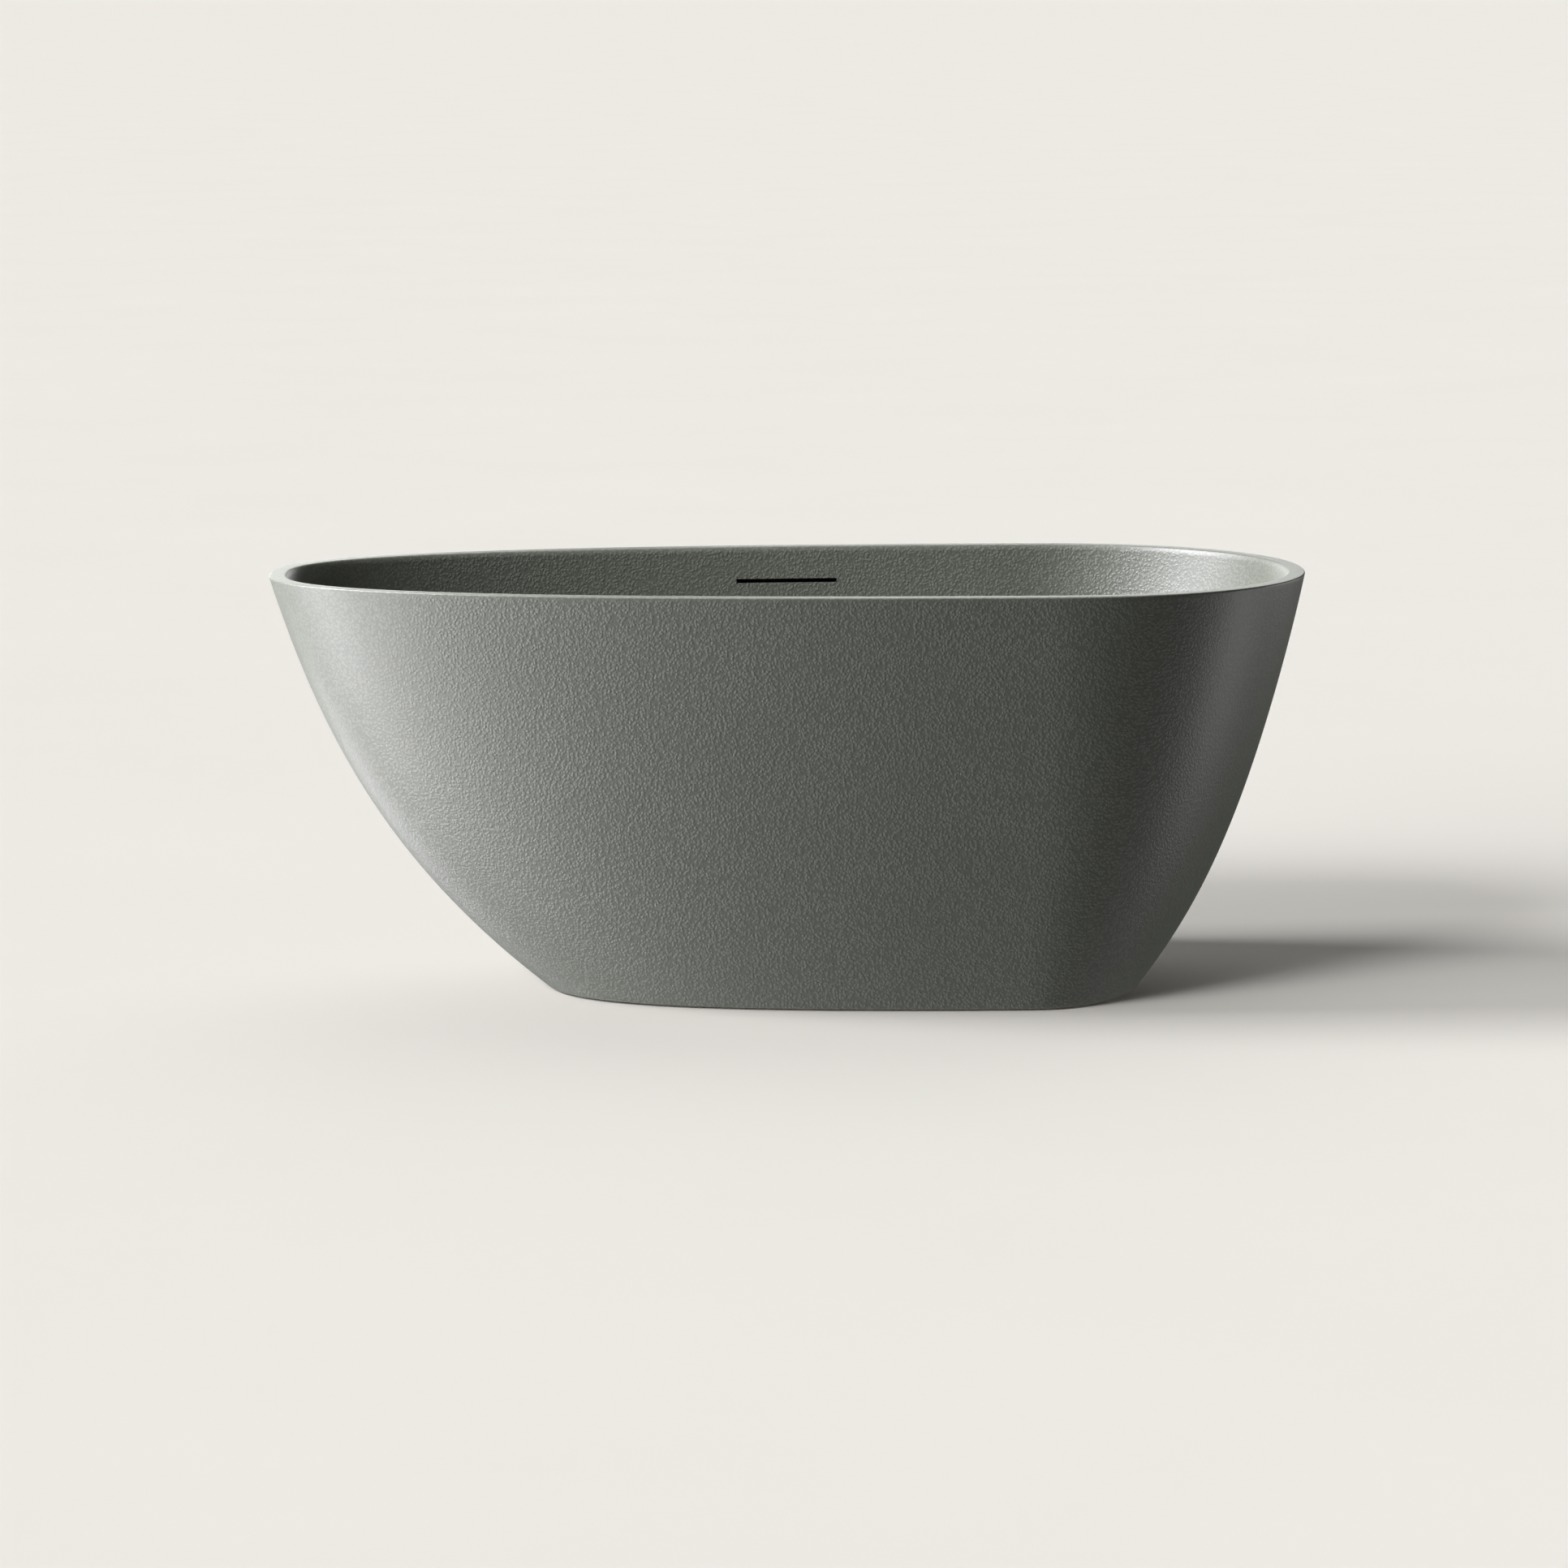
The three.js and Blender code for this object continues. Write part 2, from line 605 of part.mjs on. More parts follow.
const corners = [
  { name: 'front_left', x: -1, y: -1 },
  { name: 'front_right', x: 1, y: -1 },
  { name: 'back_left', x: -1, y: 1 },
  { name: 'back_right', x: 1, y: 1 },
];
const screwBore = screw.radius + screw.clear;
const screwX = (corner) => (corner.x < 0 ? screw.left : screw.right);
const screwHole = (corner, radius, bottom, top) =>
  rod(radius, bottom, top, screwSteps).translate(screwX(corner), corner.y * rail.y, 0);

function baseBoard() {
  const shape = roundedPlate(board.left, board.right, board.half, board.corner);
  shape.holes.push(new THREE.Path().absarc(drainX, 0, board.opening, 0, 2 * Math.PI, true));
  const bottom = boardTop - board.thick;
  const plate = raised(shape, bottom, boardTop, boardSteps);
  const pilotTop = bottom + screw.bite + over;
  return cut(plate, ...corners.map((corner) => screwHole(corner, screwBore, bottom - over, pilotTop)));
}

// Rectangular steel tube along X, open at both ends
function boxTube(from, to, wide, tall, wall) {
  const shape = new THREE.Shape();
  shape.moveTo(-wide / 2, 0).lineTo(wide / 2, 0).lineTo(wide / 2, tall).lineTo(-wide / 2, tall).closePath();
  const hollow = new THREE.Path();
  hollow.moveTo(wall - wide / 2, wall).lineTo(wall - wide / 2, tall - wall);
  hollow.lineTo(wide / 2 - wall, tall - wall).lineTo(wide / 2 - wall, wall).closePath();
  shape.holes.push(hollow);
  return raised(shape, from, to).rotateX(Math.PI / 2).rotateZ(Math.PI / 2);
}

function frameRail(side) {
  const bottom = railTop - rail.tall;
  const tube = boxTube(rail.left, rail.right, rail.wide, rail.tall, rail.wall);
  const holes = corners.filter((corner) => corner.y === side)
    .map((corner) => screwHole(corner, screwBore, bottom - over, railTop + over));
  return cut(tube.translate(0, side * rail.y, bottom), ...holes);
}

function frameScrew() {
  const headTop = -fit;
  const tip = rail.tall + fit + screw.bite;
  return turned([
    [0, headTop - screw.headTall], [screw.head - chamfer, headTop - screw.headTall],
    [screw.head, headTop - screw.headEdge], [screw.head, headTop], [screw.radius, headTop],
    [screw.radius, tip - screw.point], [0, tip],
  ], screwSteps);
}

place('base_board', baseBoard(), plywood);
place('frame_rail_front', frameRail(-1), galvanised);
place('frame_rail_back', frameRail(1), galvanised);
for (const end of ['left', 'right']) {
  const tube = boxTube(-cross.half, cross.half, cross.wide, cross.tall, cross.wall);
  const member = place(`cross_member_${end}`, tube, galvanised);
  member.rotation.z = Math.PI / 2;
  member.position.set(cross[end], 0, crossTop - cross.tall);
}
for (const corner of corners) {
  const piece = place(`frame_screw_${corner.name}`, frameScrew(), brushedSteel);
  piece.position.set(screwX(corner), corner.y * rail.y, railTop - rail.tall);
}

// ---- Levelling feet ----

function footStud() {
  const bottom = pad.tall - pad.socketDepth + fit;
  const spindle = turned([
    [0, bottom], [stud.radius - chamfer, bottom], [stud.radius, bottom + chamfer],
    [stud.radius, stud.top - chamfer], [stud.radius - chamfer, stud.top], [0, stud.top],
  ], smallSteps);
  return join(spindle, hexBar(stud.hexAcross, stud.hexFoot, stud.hexFoot + stud.hexTall));
}

function footPad() {
  return turned([
    [0, 0], [pad.radius - chamfer, 0], [pad.radius, chamfer], [pad.radius, pad.sole + pad.edge],
    [pad.socket + pad.socketWall, pad.tall], [pad.socket, pad.tall],
    [pad.socket, pad.tall - pad.socketDepth], [0, pad.tall - pad.socketDepth],
  ]);
}

const bushTop = crossTop + (bush.tall - cross.tall) / 2;
const bushFoot = bushTop - bush.tall;
const studBore = stud.radius + studClear;
for (const corner of corners) {
  const foot = new THREE.Group();
  foot.position.set(corner.x < 0 ? cross.left : cross.right, corner.y * bushY, 0);
  bath.add(foot);
  const nutTop = bushFoot - fit;
  const bushRing = ring(studBore, bush.radius, bushFoot, bushTop, smallSteps);
  place(`foot_bush_${corner.name}`, bushRing, galvanised, foot);
  place(`foot_stud_${corner.name}`, footStud(), galvanised, foot);
  place(`foot_pad_${corner.name}`, footPad(), darkRubber, foot);
  const nutBar = hexBar(lockNut.across, nutTop - lockNut.tall, nutTop);
  const bored = cut(nutBar, rod(studBore, 0, nutTop + over, smallSteps));
  place(`foot_lock_nut_${corner.name}`, bored, galvanised, foot);
}

export default bath;
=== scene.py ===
"""Freestanding bath of pebbled gelcoat: the visual model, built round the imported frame.

Sizes in the classes are millimetres; each mesh is turned to metres as it is made. X runs along the
bath with the sloped backrest at -X, +Y is the overflow side and +Z is up.
"""

from __future__ import annotations

import logging
import math
from dataclasses import dataclass, field
from enum import Enum
from typing import Iterable, Sequence

import bmesh
import bpy
import numpy as np
from mathutils import Matrix, Vector


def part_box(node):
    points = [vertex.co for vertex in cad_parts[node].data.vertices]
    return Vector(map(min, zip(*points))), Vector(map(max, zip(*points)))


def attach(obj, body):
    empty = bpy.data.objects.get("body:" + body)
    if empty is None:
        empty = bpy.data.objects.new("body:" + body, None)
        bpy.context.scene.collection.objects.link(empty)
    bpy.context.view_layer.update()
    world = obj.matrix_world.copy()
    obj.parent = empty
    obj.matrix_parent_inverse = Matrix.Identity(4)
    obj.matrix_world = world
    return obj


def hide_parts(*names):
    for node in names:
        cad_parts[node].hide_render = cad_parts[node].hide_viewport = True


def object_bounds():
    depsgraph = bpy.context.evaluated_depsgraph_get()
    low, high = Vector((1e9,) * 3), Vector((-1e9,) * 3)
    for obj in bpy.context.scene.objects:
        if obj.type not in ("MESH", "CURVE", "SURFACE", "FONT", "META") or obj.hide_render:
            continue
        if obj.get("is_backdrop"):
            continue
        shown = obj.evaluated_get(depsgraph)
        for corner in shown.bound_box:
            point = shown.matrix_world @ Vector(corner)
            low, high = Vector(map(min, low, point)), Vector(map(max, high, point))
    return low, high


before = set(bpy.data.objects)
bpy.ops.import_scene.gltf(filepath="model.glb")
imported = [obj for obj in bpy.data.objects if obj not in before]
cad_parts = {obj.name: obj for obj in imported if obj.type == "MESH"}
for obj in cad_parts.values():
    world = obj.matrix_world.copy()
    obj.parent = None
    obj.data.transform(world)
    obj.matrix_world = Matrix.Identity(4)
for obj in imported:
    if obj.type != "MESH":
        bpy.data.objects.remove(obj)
cad_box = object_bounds()

log = logging.getLogger("bath")

MM = 0.001
FULL_TURN = 2 * math.pi
# Points nearer to each other than the first, and edges shorter than the second, in metres, are merged
MERGE_WITHIN = 1e-6
COLLAPSE_BELOW = 1e-7
# Edges that turn by more degrees than this stay crisp: on most pieces, and on threads
SHARP = 38.0
SHARP_THREAD = 30.0
# An eased corner has one point more than this
EASE_STEPS = 4
Profile = Sequence[tuple[float, float]]


class Body(Enum):
    """The frame's moving bodies; pads and studs add their corner's name."""

    BATH = "bath"
    PLUG = "plug"
    PAD = "pad_"
    STUD = "stud_"


class Slot(Enum):
    """The record's material slots."""

    STONE = "stone_skin"
    PLASTIC = "white_plastic"
    RUBBER = "rubber_seal"
    STEEL = "brushed_steel"
    ZINC = "zinc_steel"
    PLYWOOD = "plywood"
    ADHESIVE = "adhesive"


class Corner(Enum):
    """The four corners of the base frame."""

    FRONT_LEFT = "front_left"
    FRONT_RIGHT = "front_right"
    BACK_LEFT = "back_left"
    BACK_RIGHT = "back_right"


# ---- Meshes ----


class Shape:
    """Points in millimetres and the faces between them, gathered surface by surface."""

    def __init__(self) -> None:
        """Starts with no points and no faces."""
        self.points: list[np.ndarray] = []
        self.faces: list[tuple[int, ...]] = []
        self.dressed: list[int] = []
        self.count = 0

    def loft(
        self, rings: Sequence[np.ndarray], looped: bool = False, caps: bool = False, dress: int = 0
    ) -> Shape:
        """Skins a run of rings, each counter-clockwise seen from the run's end.

        Args:
            rings: Rings of the same number of points.
            looped: True if the last ring joins the first again.
            caps: True to close the first and the last ring with a face.
            dress: Which of the piece's materials the faces take.

        Returns:
            This shape, so that calls can follow each other.
        """
        steps = len(rings[0])
        start = self.count
        self.points.extend(np.asarray(ring, float) for ring in rings)
        self.count += steps * len(rings)
        last = len(rings) if looped else len(rings) - 1
        for i in range(last):
            low, high = start + i * steps, start + ((i + 1) % len(rings)) * steps
            for j in range(steps):
                k = (j + 1) % steps
                self.faces.append((low + j, low + k, high + k, high + j))
                self.dressed.append(dress)
        if caps:
            self.faces.append(tuple(range(start + steps - 1, start - 1, -1)))
            self.faces.append(tuple(range(self.count - steps, self.count)))
            self.dressed.extend((dress, dress))
        return self

    def turn(self, profile: Profile, steps: int, dress: int = 0, looped: bool = True) -> Shape:
        """Turns a profile of (radius, height) about Z; it goes up the outside and down the inside."""
        return self.loft([circle(radius, height, steps) for radius, height in profile], looped, dress=dress)

    def box(self, low: Sequence[float], high: Sequence[float], dress: int = 0) -> Shape:
        """Adds a block between two corners.

        Args:
            low: The corner with the least X, Y and Z.
            high: The opposite corner.
            dress: Which of the piece's materials the faces take.

        Returns:
            This shape.
        """
        x0, y0, z0 = low
        x1, y1, z1 = high
        plan = np.array([[x0, y0], [x1, y0], [x1, y1], [x0, y1]])
        return self.loft([np.column_stack([plan, np.full(4, z)]) for z in (z0, z1)], caps=True, dress=dress)

    def add(self, part: Shape) -> Shape:
        """Takes in another shape.

        Args:
            part: The other shape, which stays as it is.

        Returns:
            This shape.
        """
        self.faces += [tuple(i + self.count for i in face) for face in part.faces]
        self.dressed += part.dressed
        self.points += part.points
        self.count += part.count
        return self

    def moved(self, matrix: Matrix) -> Shape:
        """Moves every point made so far by a matrix in millimetres.

        Args:
            matrix: The move, in millimetres.

        Returns:
            This shape.
        """
        turn = np.array(matrix.to_3x3())
        shift = np.array(matrix.translation)
        self.points = [ring @ turn.T + shift for ring in self.points]
        return self

    def make(self, name: str, at: Vector, sharp: float = SHARP) -> bpy.types.Object:
        """Makes the mesh object.

        Args:
            name: The piece's name.
            at: Where the shape's zero lies, in metres.
            sharp: Edges that turn by more than this many degrees stay crisp.

        Returns:
            The new object, with no material yet.
        """
        mesh = bpy.data.meshes.new(name)
        points = np.concatenate(self.points) * MM
        mesh.from_pydata(points.tolist(), [], self.faces)
        mesh.polygons.foreach_set("material_index", self.dressed)
        work = bmesh.new()
        work.from_mesh(mesh)
        bmesh.ops.remove_doubles(work, verts=work.verts, dist=MERGE_WITHIN)
        bmesh.ops.dissolve_degenerate(work, edges=work.edges, dist=COLLAPSE_BELOW)
        bmesh.ops.recalc_face_normals(work, faces=work.faces)
        work.to_mesh(mesh)
        work.free()
        mesh.shade_smooth()
        mesh.set_sharp_from_angle(angle=math.radians(sharp))
        piece = bpy.data.objects.new(name, mesh)
        piece.location = at
        bpy.context.scene.collection.objects.link(piece)
        return piece


def circle(radius: float, height: float, steps: int) -> np.ndarray:
    """A ring of points about Z, counter-clockwise from above."""
    turn = np.linspace(0, FULL_TURN, steps, endpoint=False)
    return np.column_stack([radius * np.cos(turn), radius * np.sin(turn), np.full(steps, height)])


def tube(inner: float, outer: float, low: float, high: float) -> list[tuple[float, float]]:
    """The square-cornered profile of a tube."""
    return [(inner, low), (outer, low), (outer, high), (inner, high)]


def eased(profile: Profile, radius: float, steps: int = EASE_STEPS) -> list[tuple[float, float]]:
    """Rounds the corners of a closed profile.

    Args:
        profile: Corners of the profile as (radius, height); those on the axis stay as they are.
        radius: The rounding's radius, made smaller where a side is short.
        steps: Points along each rounding, less one.

    Returns:
        The rounded profile.
    """
    straight = math.radians(165)
    side_share = 0.42
    corners = [np.array(point, float) for point in profile]
    result: list[tuple[float, float]] = []
    for i, corner in enumerate(corners):
        before = corners[i - 1] - corner
        after = corners[(i + 1) % len(corners)] - corner
        to_before, to_after = np.linalg.norm(before), np.linalg.norm(after)
        if corner[0] < 1e-6 or min(to_before, to_after) < 1e-6:
            result.append((corner[0], corner[1]))
            continue
        before, after = before / to_before, after / to_after
        angle = math.acos(max(-1.0, min(1.0, float(before @ after))))
        if angle > straight:
            result.append((corner[0], corner[1]))
            continue
        back = min(radius / math.tan(angle / 2), side_share * to_before, side_share * to_after)
        start, end = corner + before * back, corner + after * back
        for j in range(steps + 1):
            t = j / steps
            point = (1 - t) ** 2 * start + 2 * t * (1 - t) * corner + t**2 * end
            result.append((float(point[0]), float(point[1])))
    return result


def applied(piece: bpy.types.Object) -> bpy.types.Object:
    """Puts a piece's modifiers into its mesh.

    Args:
        piece: The piece.

    Returns:
        The same piece, with its modifiers gone.
    """
    graph = bpy.context.evaluated_depsgraph_get()
    mesh = bpy.data.meshes.new_from_object(piece.evaluated_get(graph))
    old = piece.data
    piece.modifiers.clear()
    piece.data = mesh
    bpy.data.meshes.remove(old)
    return piece


def combined(
    piece: bpy.types.Object, tools: Iterable[bpy.types.Object], how: str, sharp: float = SHARP
) -> bpy.types.Object:
    """Cuts tools out of a piece, or joins them to it, and removes the tools.

    Args:
        piece: The piece that is changed.
        tools: Closed meshes.
        how: DIFFERENCE, UNION or INTERSECT.
        sharp: Edges that turn by more than this many degrees stay crisp.

    Returns:
        The changed piece.
    """
    for tool in tools:
        change = piece.modifiers.new("change", "BOOLEAN")
        change.operation = how
        change.solver = "EXACT"
        change.object = tool
        applied(piece)
        bpy.data.objects.remove(tool)
    piece.data.shade_smooth()
    piece.data.set_sharp_from_angle(angle=math.radians(sharp))
    return piece


def centre_of(node: str) -> Vector:
    """The middle of a CAD node's box, in metres."""
    low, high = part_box(node)
    return (low + high) / 2


def foot_of(node: str) -> Vector:
    """The middle of the underside of a CAD node's box, in metres."""
    low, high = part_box(node)
    return Vector(((low.x + high.x) / 2, (low.y + high.y) / 2, low.z))


def settle(
    piece: bpy.types.Object, body: str, slot: Slot, nodes: Sequence[str], finishes: Sequence[Finish]
) -> bpy.types.Object:
    """Dresses a new piece, sets it on its body and lets it stand for its CAD nodes.

    Args:
        piece: The new piece.
        body: The CAD body that it moves with.
        slot: The record's slot for its main material; not used.
        nodes: CAD nodes that it stands for.
        finishes: Its materials, in the order that its faces name them.

    Returns:
        The piece.
    """
    piece.data.materials.clear()
    for finish in finishes:
        piece.data.materials.append(finish.material())
    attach(piece, body)
    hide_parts(*nodes)
    log.info("%s: %d faces", piece.name, len(piece.data.polygons))
    return piece


def dress_node(node: str, finish: Finish, edge: float = 0.0) -> None:
    """Gives a CAD node that is kept its finish, and eases its edges by so many millimetres.

    Args:
        node: The CAD node's name.
        finish: Its material.
        edge: How far its sharp edges are eased, or 0 to leave them.
    """
    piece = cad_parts[node]
    for slot in piece.material_slots:
        slot.link = "OBJECT"
        slot.material = finish.material()
    if edge > 0:
        ease = piece.modifiers.new("eased_edges", "BEVEL")
        ease.width = edge * MM
        ease.segments = 3
        ease.limit_method = "ANGLE"
        ease.angle_limit = math.radians(40)
        ease.harden_normals = False
    log.info("%s: kept from the frame", node)


# ---- Materials ----


def linear(colour: str) -> tuple[float, float, float, float]:
    """Turns an sRGB hex colour to linear red, green, blue and alpha.

    Args:
        colour: The colour as #RRGGBB.

    Returns:
        Red, green, blue and alpha from 0 to 1.
    """
    parts = (int(colour[i : i + 2], 16) / 255 for i in (1, 3, 5))
    red, green, blue = (c / 12.92 if c <= 0.04045 else ((c + 0.055) / 1.055) ** 2.4 for c in parts)
    return (red, green, blue, 1.0)


def per_mm(size: float) -> float:
    """The texture scale at which one cell of a pattern is so many millimetres across."""
    return 1 / (size * MM)


def add_node(
    tree: bpy.types.NodeTree,
    kind: str,
    values: dict | None = None,
    links: dict | None = None,
    **settings: object,
) -> bpy.types.Node:
    """Adds a node.

    Args:
        tree: The material's node tree.
        kind: Blender's name for the node's type.
        values: Input sockets by name or place, and the constants that they hold.
        links: Input sockets by name or place, and the output sockets that feed them.
        **settings: The node's own options.

    Returns:
        The new node.
    """
    node = tree.nodes.new(kind)
    for name, value in settings.items():
        setattr(node, name, value)
    for name, value in (values or {}).items():
        node.inputs[name].default_value = value
    for name, source in (links or {}).items():
        tree.links.new(source, node.inputs[name])
    return node


@dataclass(frozen=True)
class Finish:
    """A material: what it is made of and how its surface was made."""

    name: str = "finish"

    def material(self) -> bpy.types.Material:
        """The Blender material, made once.

        Returns:
            The material, shared by every piece with this finish.
        """
        made = bpy.data.materials.get(self.name)
        if made is None:
            made = bpy.data.materials.new(self.name)
            made.use_nodes = True
            made.node_tree.nodes.clear()
            shader = self.draw(made.node_tree)
            add_node(made.node_tree, "ShaderNodeOutputMaterial", links={"Surface": shader.outputs["BSDF"]})
        return made

    def draw(self, tree: bpy.types.NodeTree) -> bpy.types.Node:
        """Draws the finish's nodes and returns its shader."""
        raise NotImplementedError


@dataclass(frozen=True)
class PebbledGelcoat(Finish):
    """Polyester gelcoat moulded against a pebbled tool.

    It gives a matte grey-green skin of fine leather-like pebbles that sparkle softly where light
    skims it, and a plainer rim where the mould's edge is rubbed smooth.
    """

    name: str = "pebbled_matte_gelcoat"
    colour: str = "#565950"
    # The painted shade that the hollows between the pebbles are darkened towards
    shade: str = "#4D5047"
    tint: str = "#5B5E55"
    pebble: float = 4.3
    grit: float = 2.1
    drift: float = 120.0
    relief: float = 0.7
    roughness: float = 0.48
    smooth_from: float = 590.0
    smooth_to: float = 597.0
    end_from: float = 470.0
    end_to: float = 660.0
    # The overflow slot's box, and the near-black painted shade that its cut edge takes in place of the shadow
    # inside the slot
    slot_middle: tuple[float, float, float] = (0.0, 0.0, 0.0)
    slot_half: tuple[float, float, float] | None = None
    slot_painted_shade: str = "#0B0B0A"

    def painted(self, tree: bpy.types.NodeTree, place: bpy.types.NodeSocket) -> bpy.types.NodeSocket:
        """Finds the overflow slot's cut edge, which takes near-black painted shade in place of the shadow
        inside the slot.

        Args:
            tree: The material's node tree.
            place: The position on the piece.

        Returns:
            1 on the slot's edge, 0 elsewhere.
        """
        split = add_node(tree, "ShaderNodeSeparateXYZ", links={"Vector": place})
        inside = None
        for axis, middle, half in zip("XYZ", self.slot_middle, self.slot_half):
            near = add_node(
                tree, "ShaderNodeMath", {1: middle * MM, 2: half * MM}, {0: split.outputs[axis]},
                operation="COMPARE",
            ).outputs["Value"]
            if inside is None:
                inside = near
            else:
                inside = add_node(
                    tree, "ShaderNodeMath", links={0: inside, 1: near}, operation="MULTIPLY",
                ).outputs["Value"]
        return inside

    def draw(self, tree: bpy.types.NodeTree) -> bpy.types.Node:
        """Draws warped cells and grit as relief, drifting tone, painted shade in the pebbles' hollows, and a
        smoother rim.

        Args:
            tree: The material's node tree.

        Returns:
            The shader.
        """
        place = add_node(tree, "ShaderNodeTexCoord").outputs["Object"]
        wobble = add_node(
            tree, "ShaderNodeTexNoise", {"Scale": per_mm(self.pebble * 2.2), "Detail": 1.0},
            {"Vector": place},
        )
        bend = add_node(
            tree, "ShaderNodeVectorMath", {1: (0.5, 0.5, 0.5)}, {0: wobble.outputs["Color"]},
            operation="SUBTRACT",
        )
        pushed = add_node(
            tree, "ShaderNodeVectorMath", {1: (self.pebble * 0.9 * MM,) * 3},
            {0: bend.outputs["Vector"], 2: place}, operation="MULTIPLY_ADD",
        )
        cells = add_node(
            tree, "ShaderNodeTexVoronoi", {"Scale": per_mm(self.pebble), "Randomness": 1.0},
            {"Vector": pushed.outputs["Vector"]}, feature="F1",
        )
        dome = add_node(
            tree, "ShaderNodeMapRange",
            {"From Min": 0.05, "From Max": 0.75, "To Min": 1.0, "To Max": 0.0},
            {"Value": cells.outputs["Distance"]}, interpolation_type="SMOOTHSTEP",
        )
        grit = add_node(
            tree, "ShaderNodeTexNoise", {"Scale": per_mm(self.grit), "Detail": 2.0, "Roughness": 0.55},
            {"Vector": pushed.outputs["Vector"]},
        )
        height = add_node(
            tree, "ShaderNodeMix", {"Factor": 0.45},
            {"A": dome.outputs["Result"], "B": grit.outputs["Fac"]}, data_type="FLOAT",
        )
        split = add_node(tree, "ShaderNodeSeparateXYZ", links={"Vector": place})
        rubbed = add_node(
            tree,
            "ShaderNodeMapRange",
            {
                "From Min": self.smooth_from * MM,
                "From Max": self.smooth_to * MM,
                "To Min": 1.0,
                "To Max": 0.12,
            },
            {"Value": split.outputs["Z"]},
            interpolation_type="SMOOTHSTEP",
        )
        along = add_node(tree, "ShaderNodeMath", links={0: split.outputs["X"]}, operation="ABSOLUTE")
        ends = add_node(
            tree, "ShaderNodeMapRange",
            {"From Min": self.end_from * MM, "From Max": self.end_to * MM, "To Min": 1.0, "To Max": 0.3},
            {"Value": along.outputs["Value"]}, interpolation_type="SMOOTHSTEP",
        )
        worn = add_node(
            tree, "ShaderNodeMath", links={0: ends.outputs["Result"], 1: rubbed.outputs["Result"]},
            operation="MULTIPLY",
        )
        relief = add_node(
            tree, "ShaderNodeMath", links={0: height.outputs["Result"], 1: worn.outputs["Value"]},
            operation="MULTIPLY",
        )
        bump = add_node(
            tree, "ShaderNodeBump", {"Strength": 1.0, "Distance": self.relief * MM},
            {"Height": relief.outputs["Value"]},
        )
        drift = add_node(
            tree, "ShaderNodeTexNoise", {"Scale": per_mm(self.drift), "Detail": 3.0, "Roughness": 0.6},
            {"Vector": place},
        )
        tone = add_node(
            tree, "ShaderNodeMapRange", {"From Min": 0.3, "From Max": 0.7, "To Min": 0.0, "To Max": 1.0},
            {"Value": drift.outputs["Fac"]},
        )
        body = add_node(
            tree, "ShaderNodeMix", {"A": linear(self.colour), "B": linear(self.tint)},
            {"Factor": tone.outputs["Result"]}, data_type="RGBA",
        )
        # Painted shade: where the relief is low, in the hollows between the pebbles, the colour is darkened
        # towards the shade colour
        hollow = add_node(
            tree, "ShaderNodeMapRange", {"From Min": 0.25, "From Max": 0.6, "To Min": 1.0, "To Max": 0.0},
            {"Value": height.outputs["Result"]},
        )
        colour = add_node(
            tree, "ShaderNodeMix", {"B": linear(self.shade)},
            {"Factor": hollow.outputs["Result"], "A": body.outputs["Result"]}, data_type="RGBA",
        )
        # Painted shade: the slot's cut edge is coloured near-black, standing in for the shadow inside the
        # slot
        if self.slot_half:
            colour = add_node(
                tree, "ShaderNodeMix", {"B": linear(self.slot_painted_shade)},
                {"Factor": self.painted(tree, place), "A": colour.outputs["Result"]}, data_type="RGBA",
            )
        gloss = add_node(
            tree,
            "ShaderNodeMapRange",
            {
                "From Min": 0.3,
                "From Max": 0.7,
                "To Min": self.roughness - 0.04,
                "To Max": self.roughness + 0.05,
            },
            {"Value": grit.outputs["Fac"]},
        )
        return add_node(
            tree,
            "ShaderNodeBsdfPrincipled",
            {"IOR": 1.5, "Metallic": 0.0},
            {
                "Base Color": colour.outputs["Result"],
                "Roughness": gloss.outputs["Result"],
                "Normal": bump.outputs["Normal"],
            },
        )


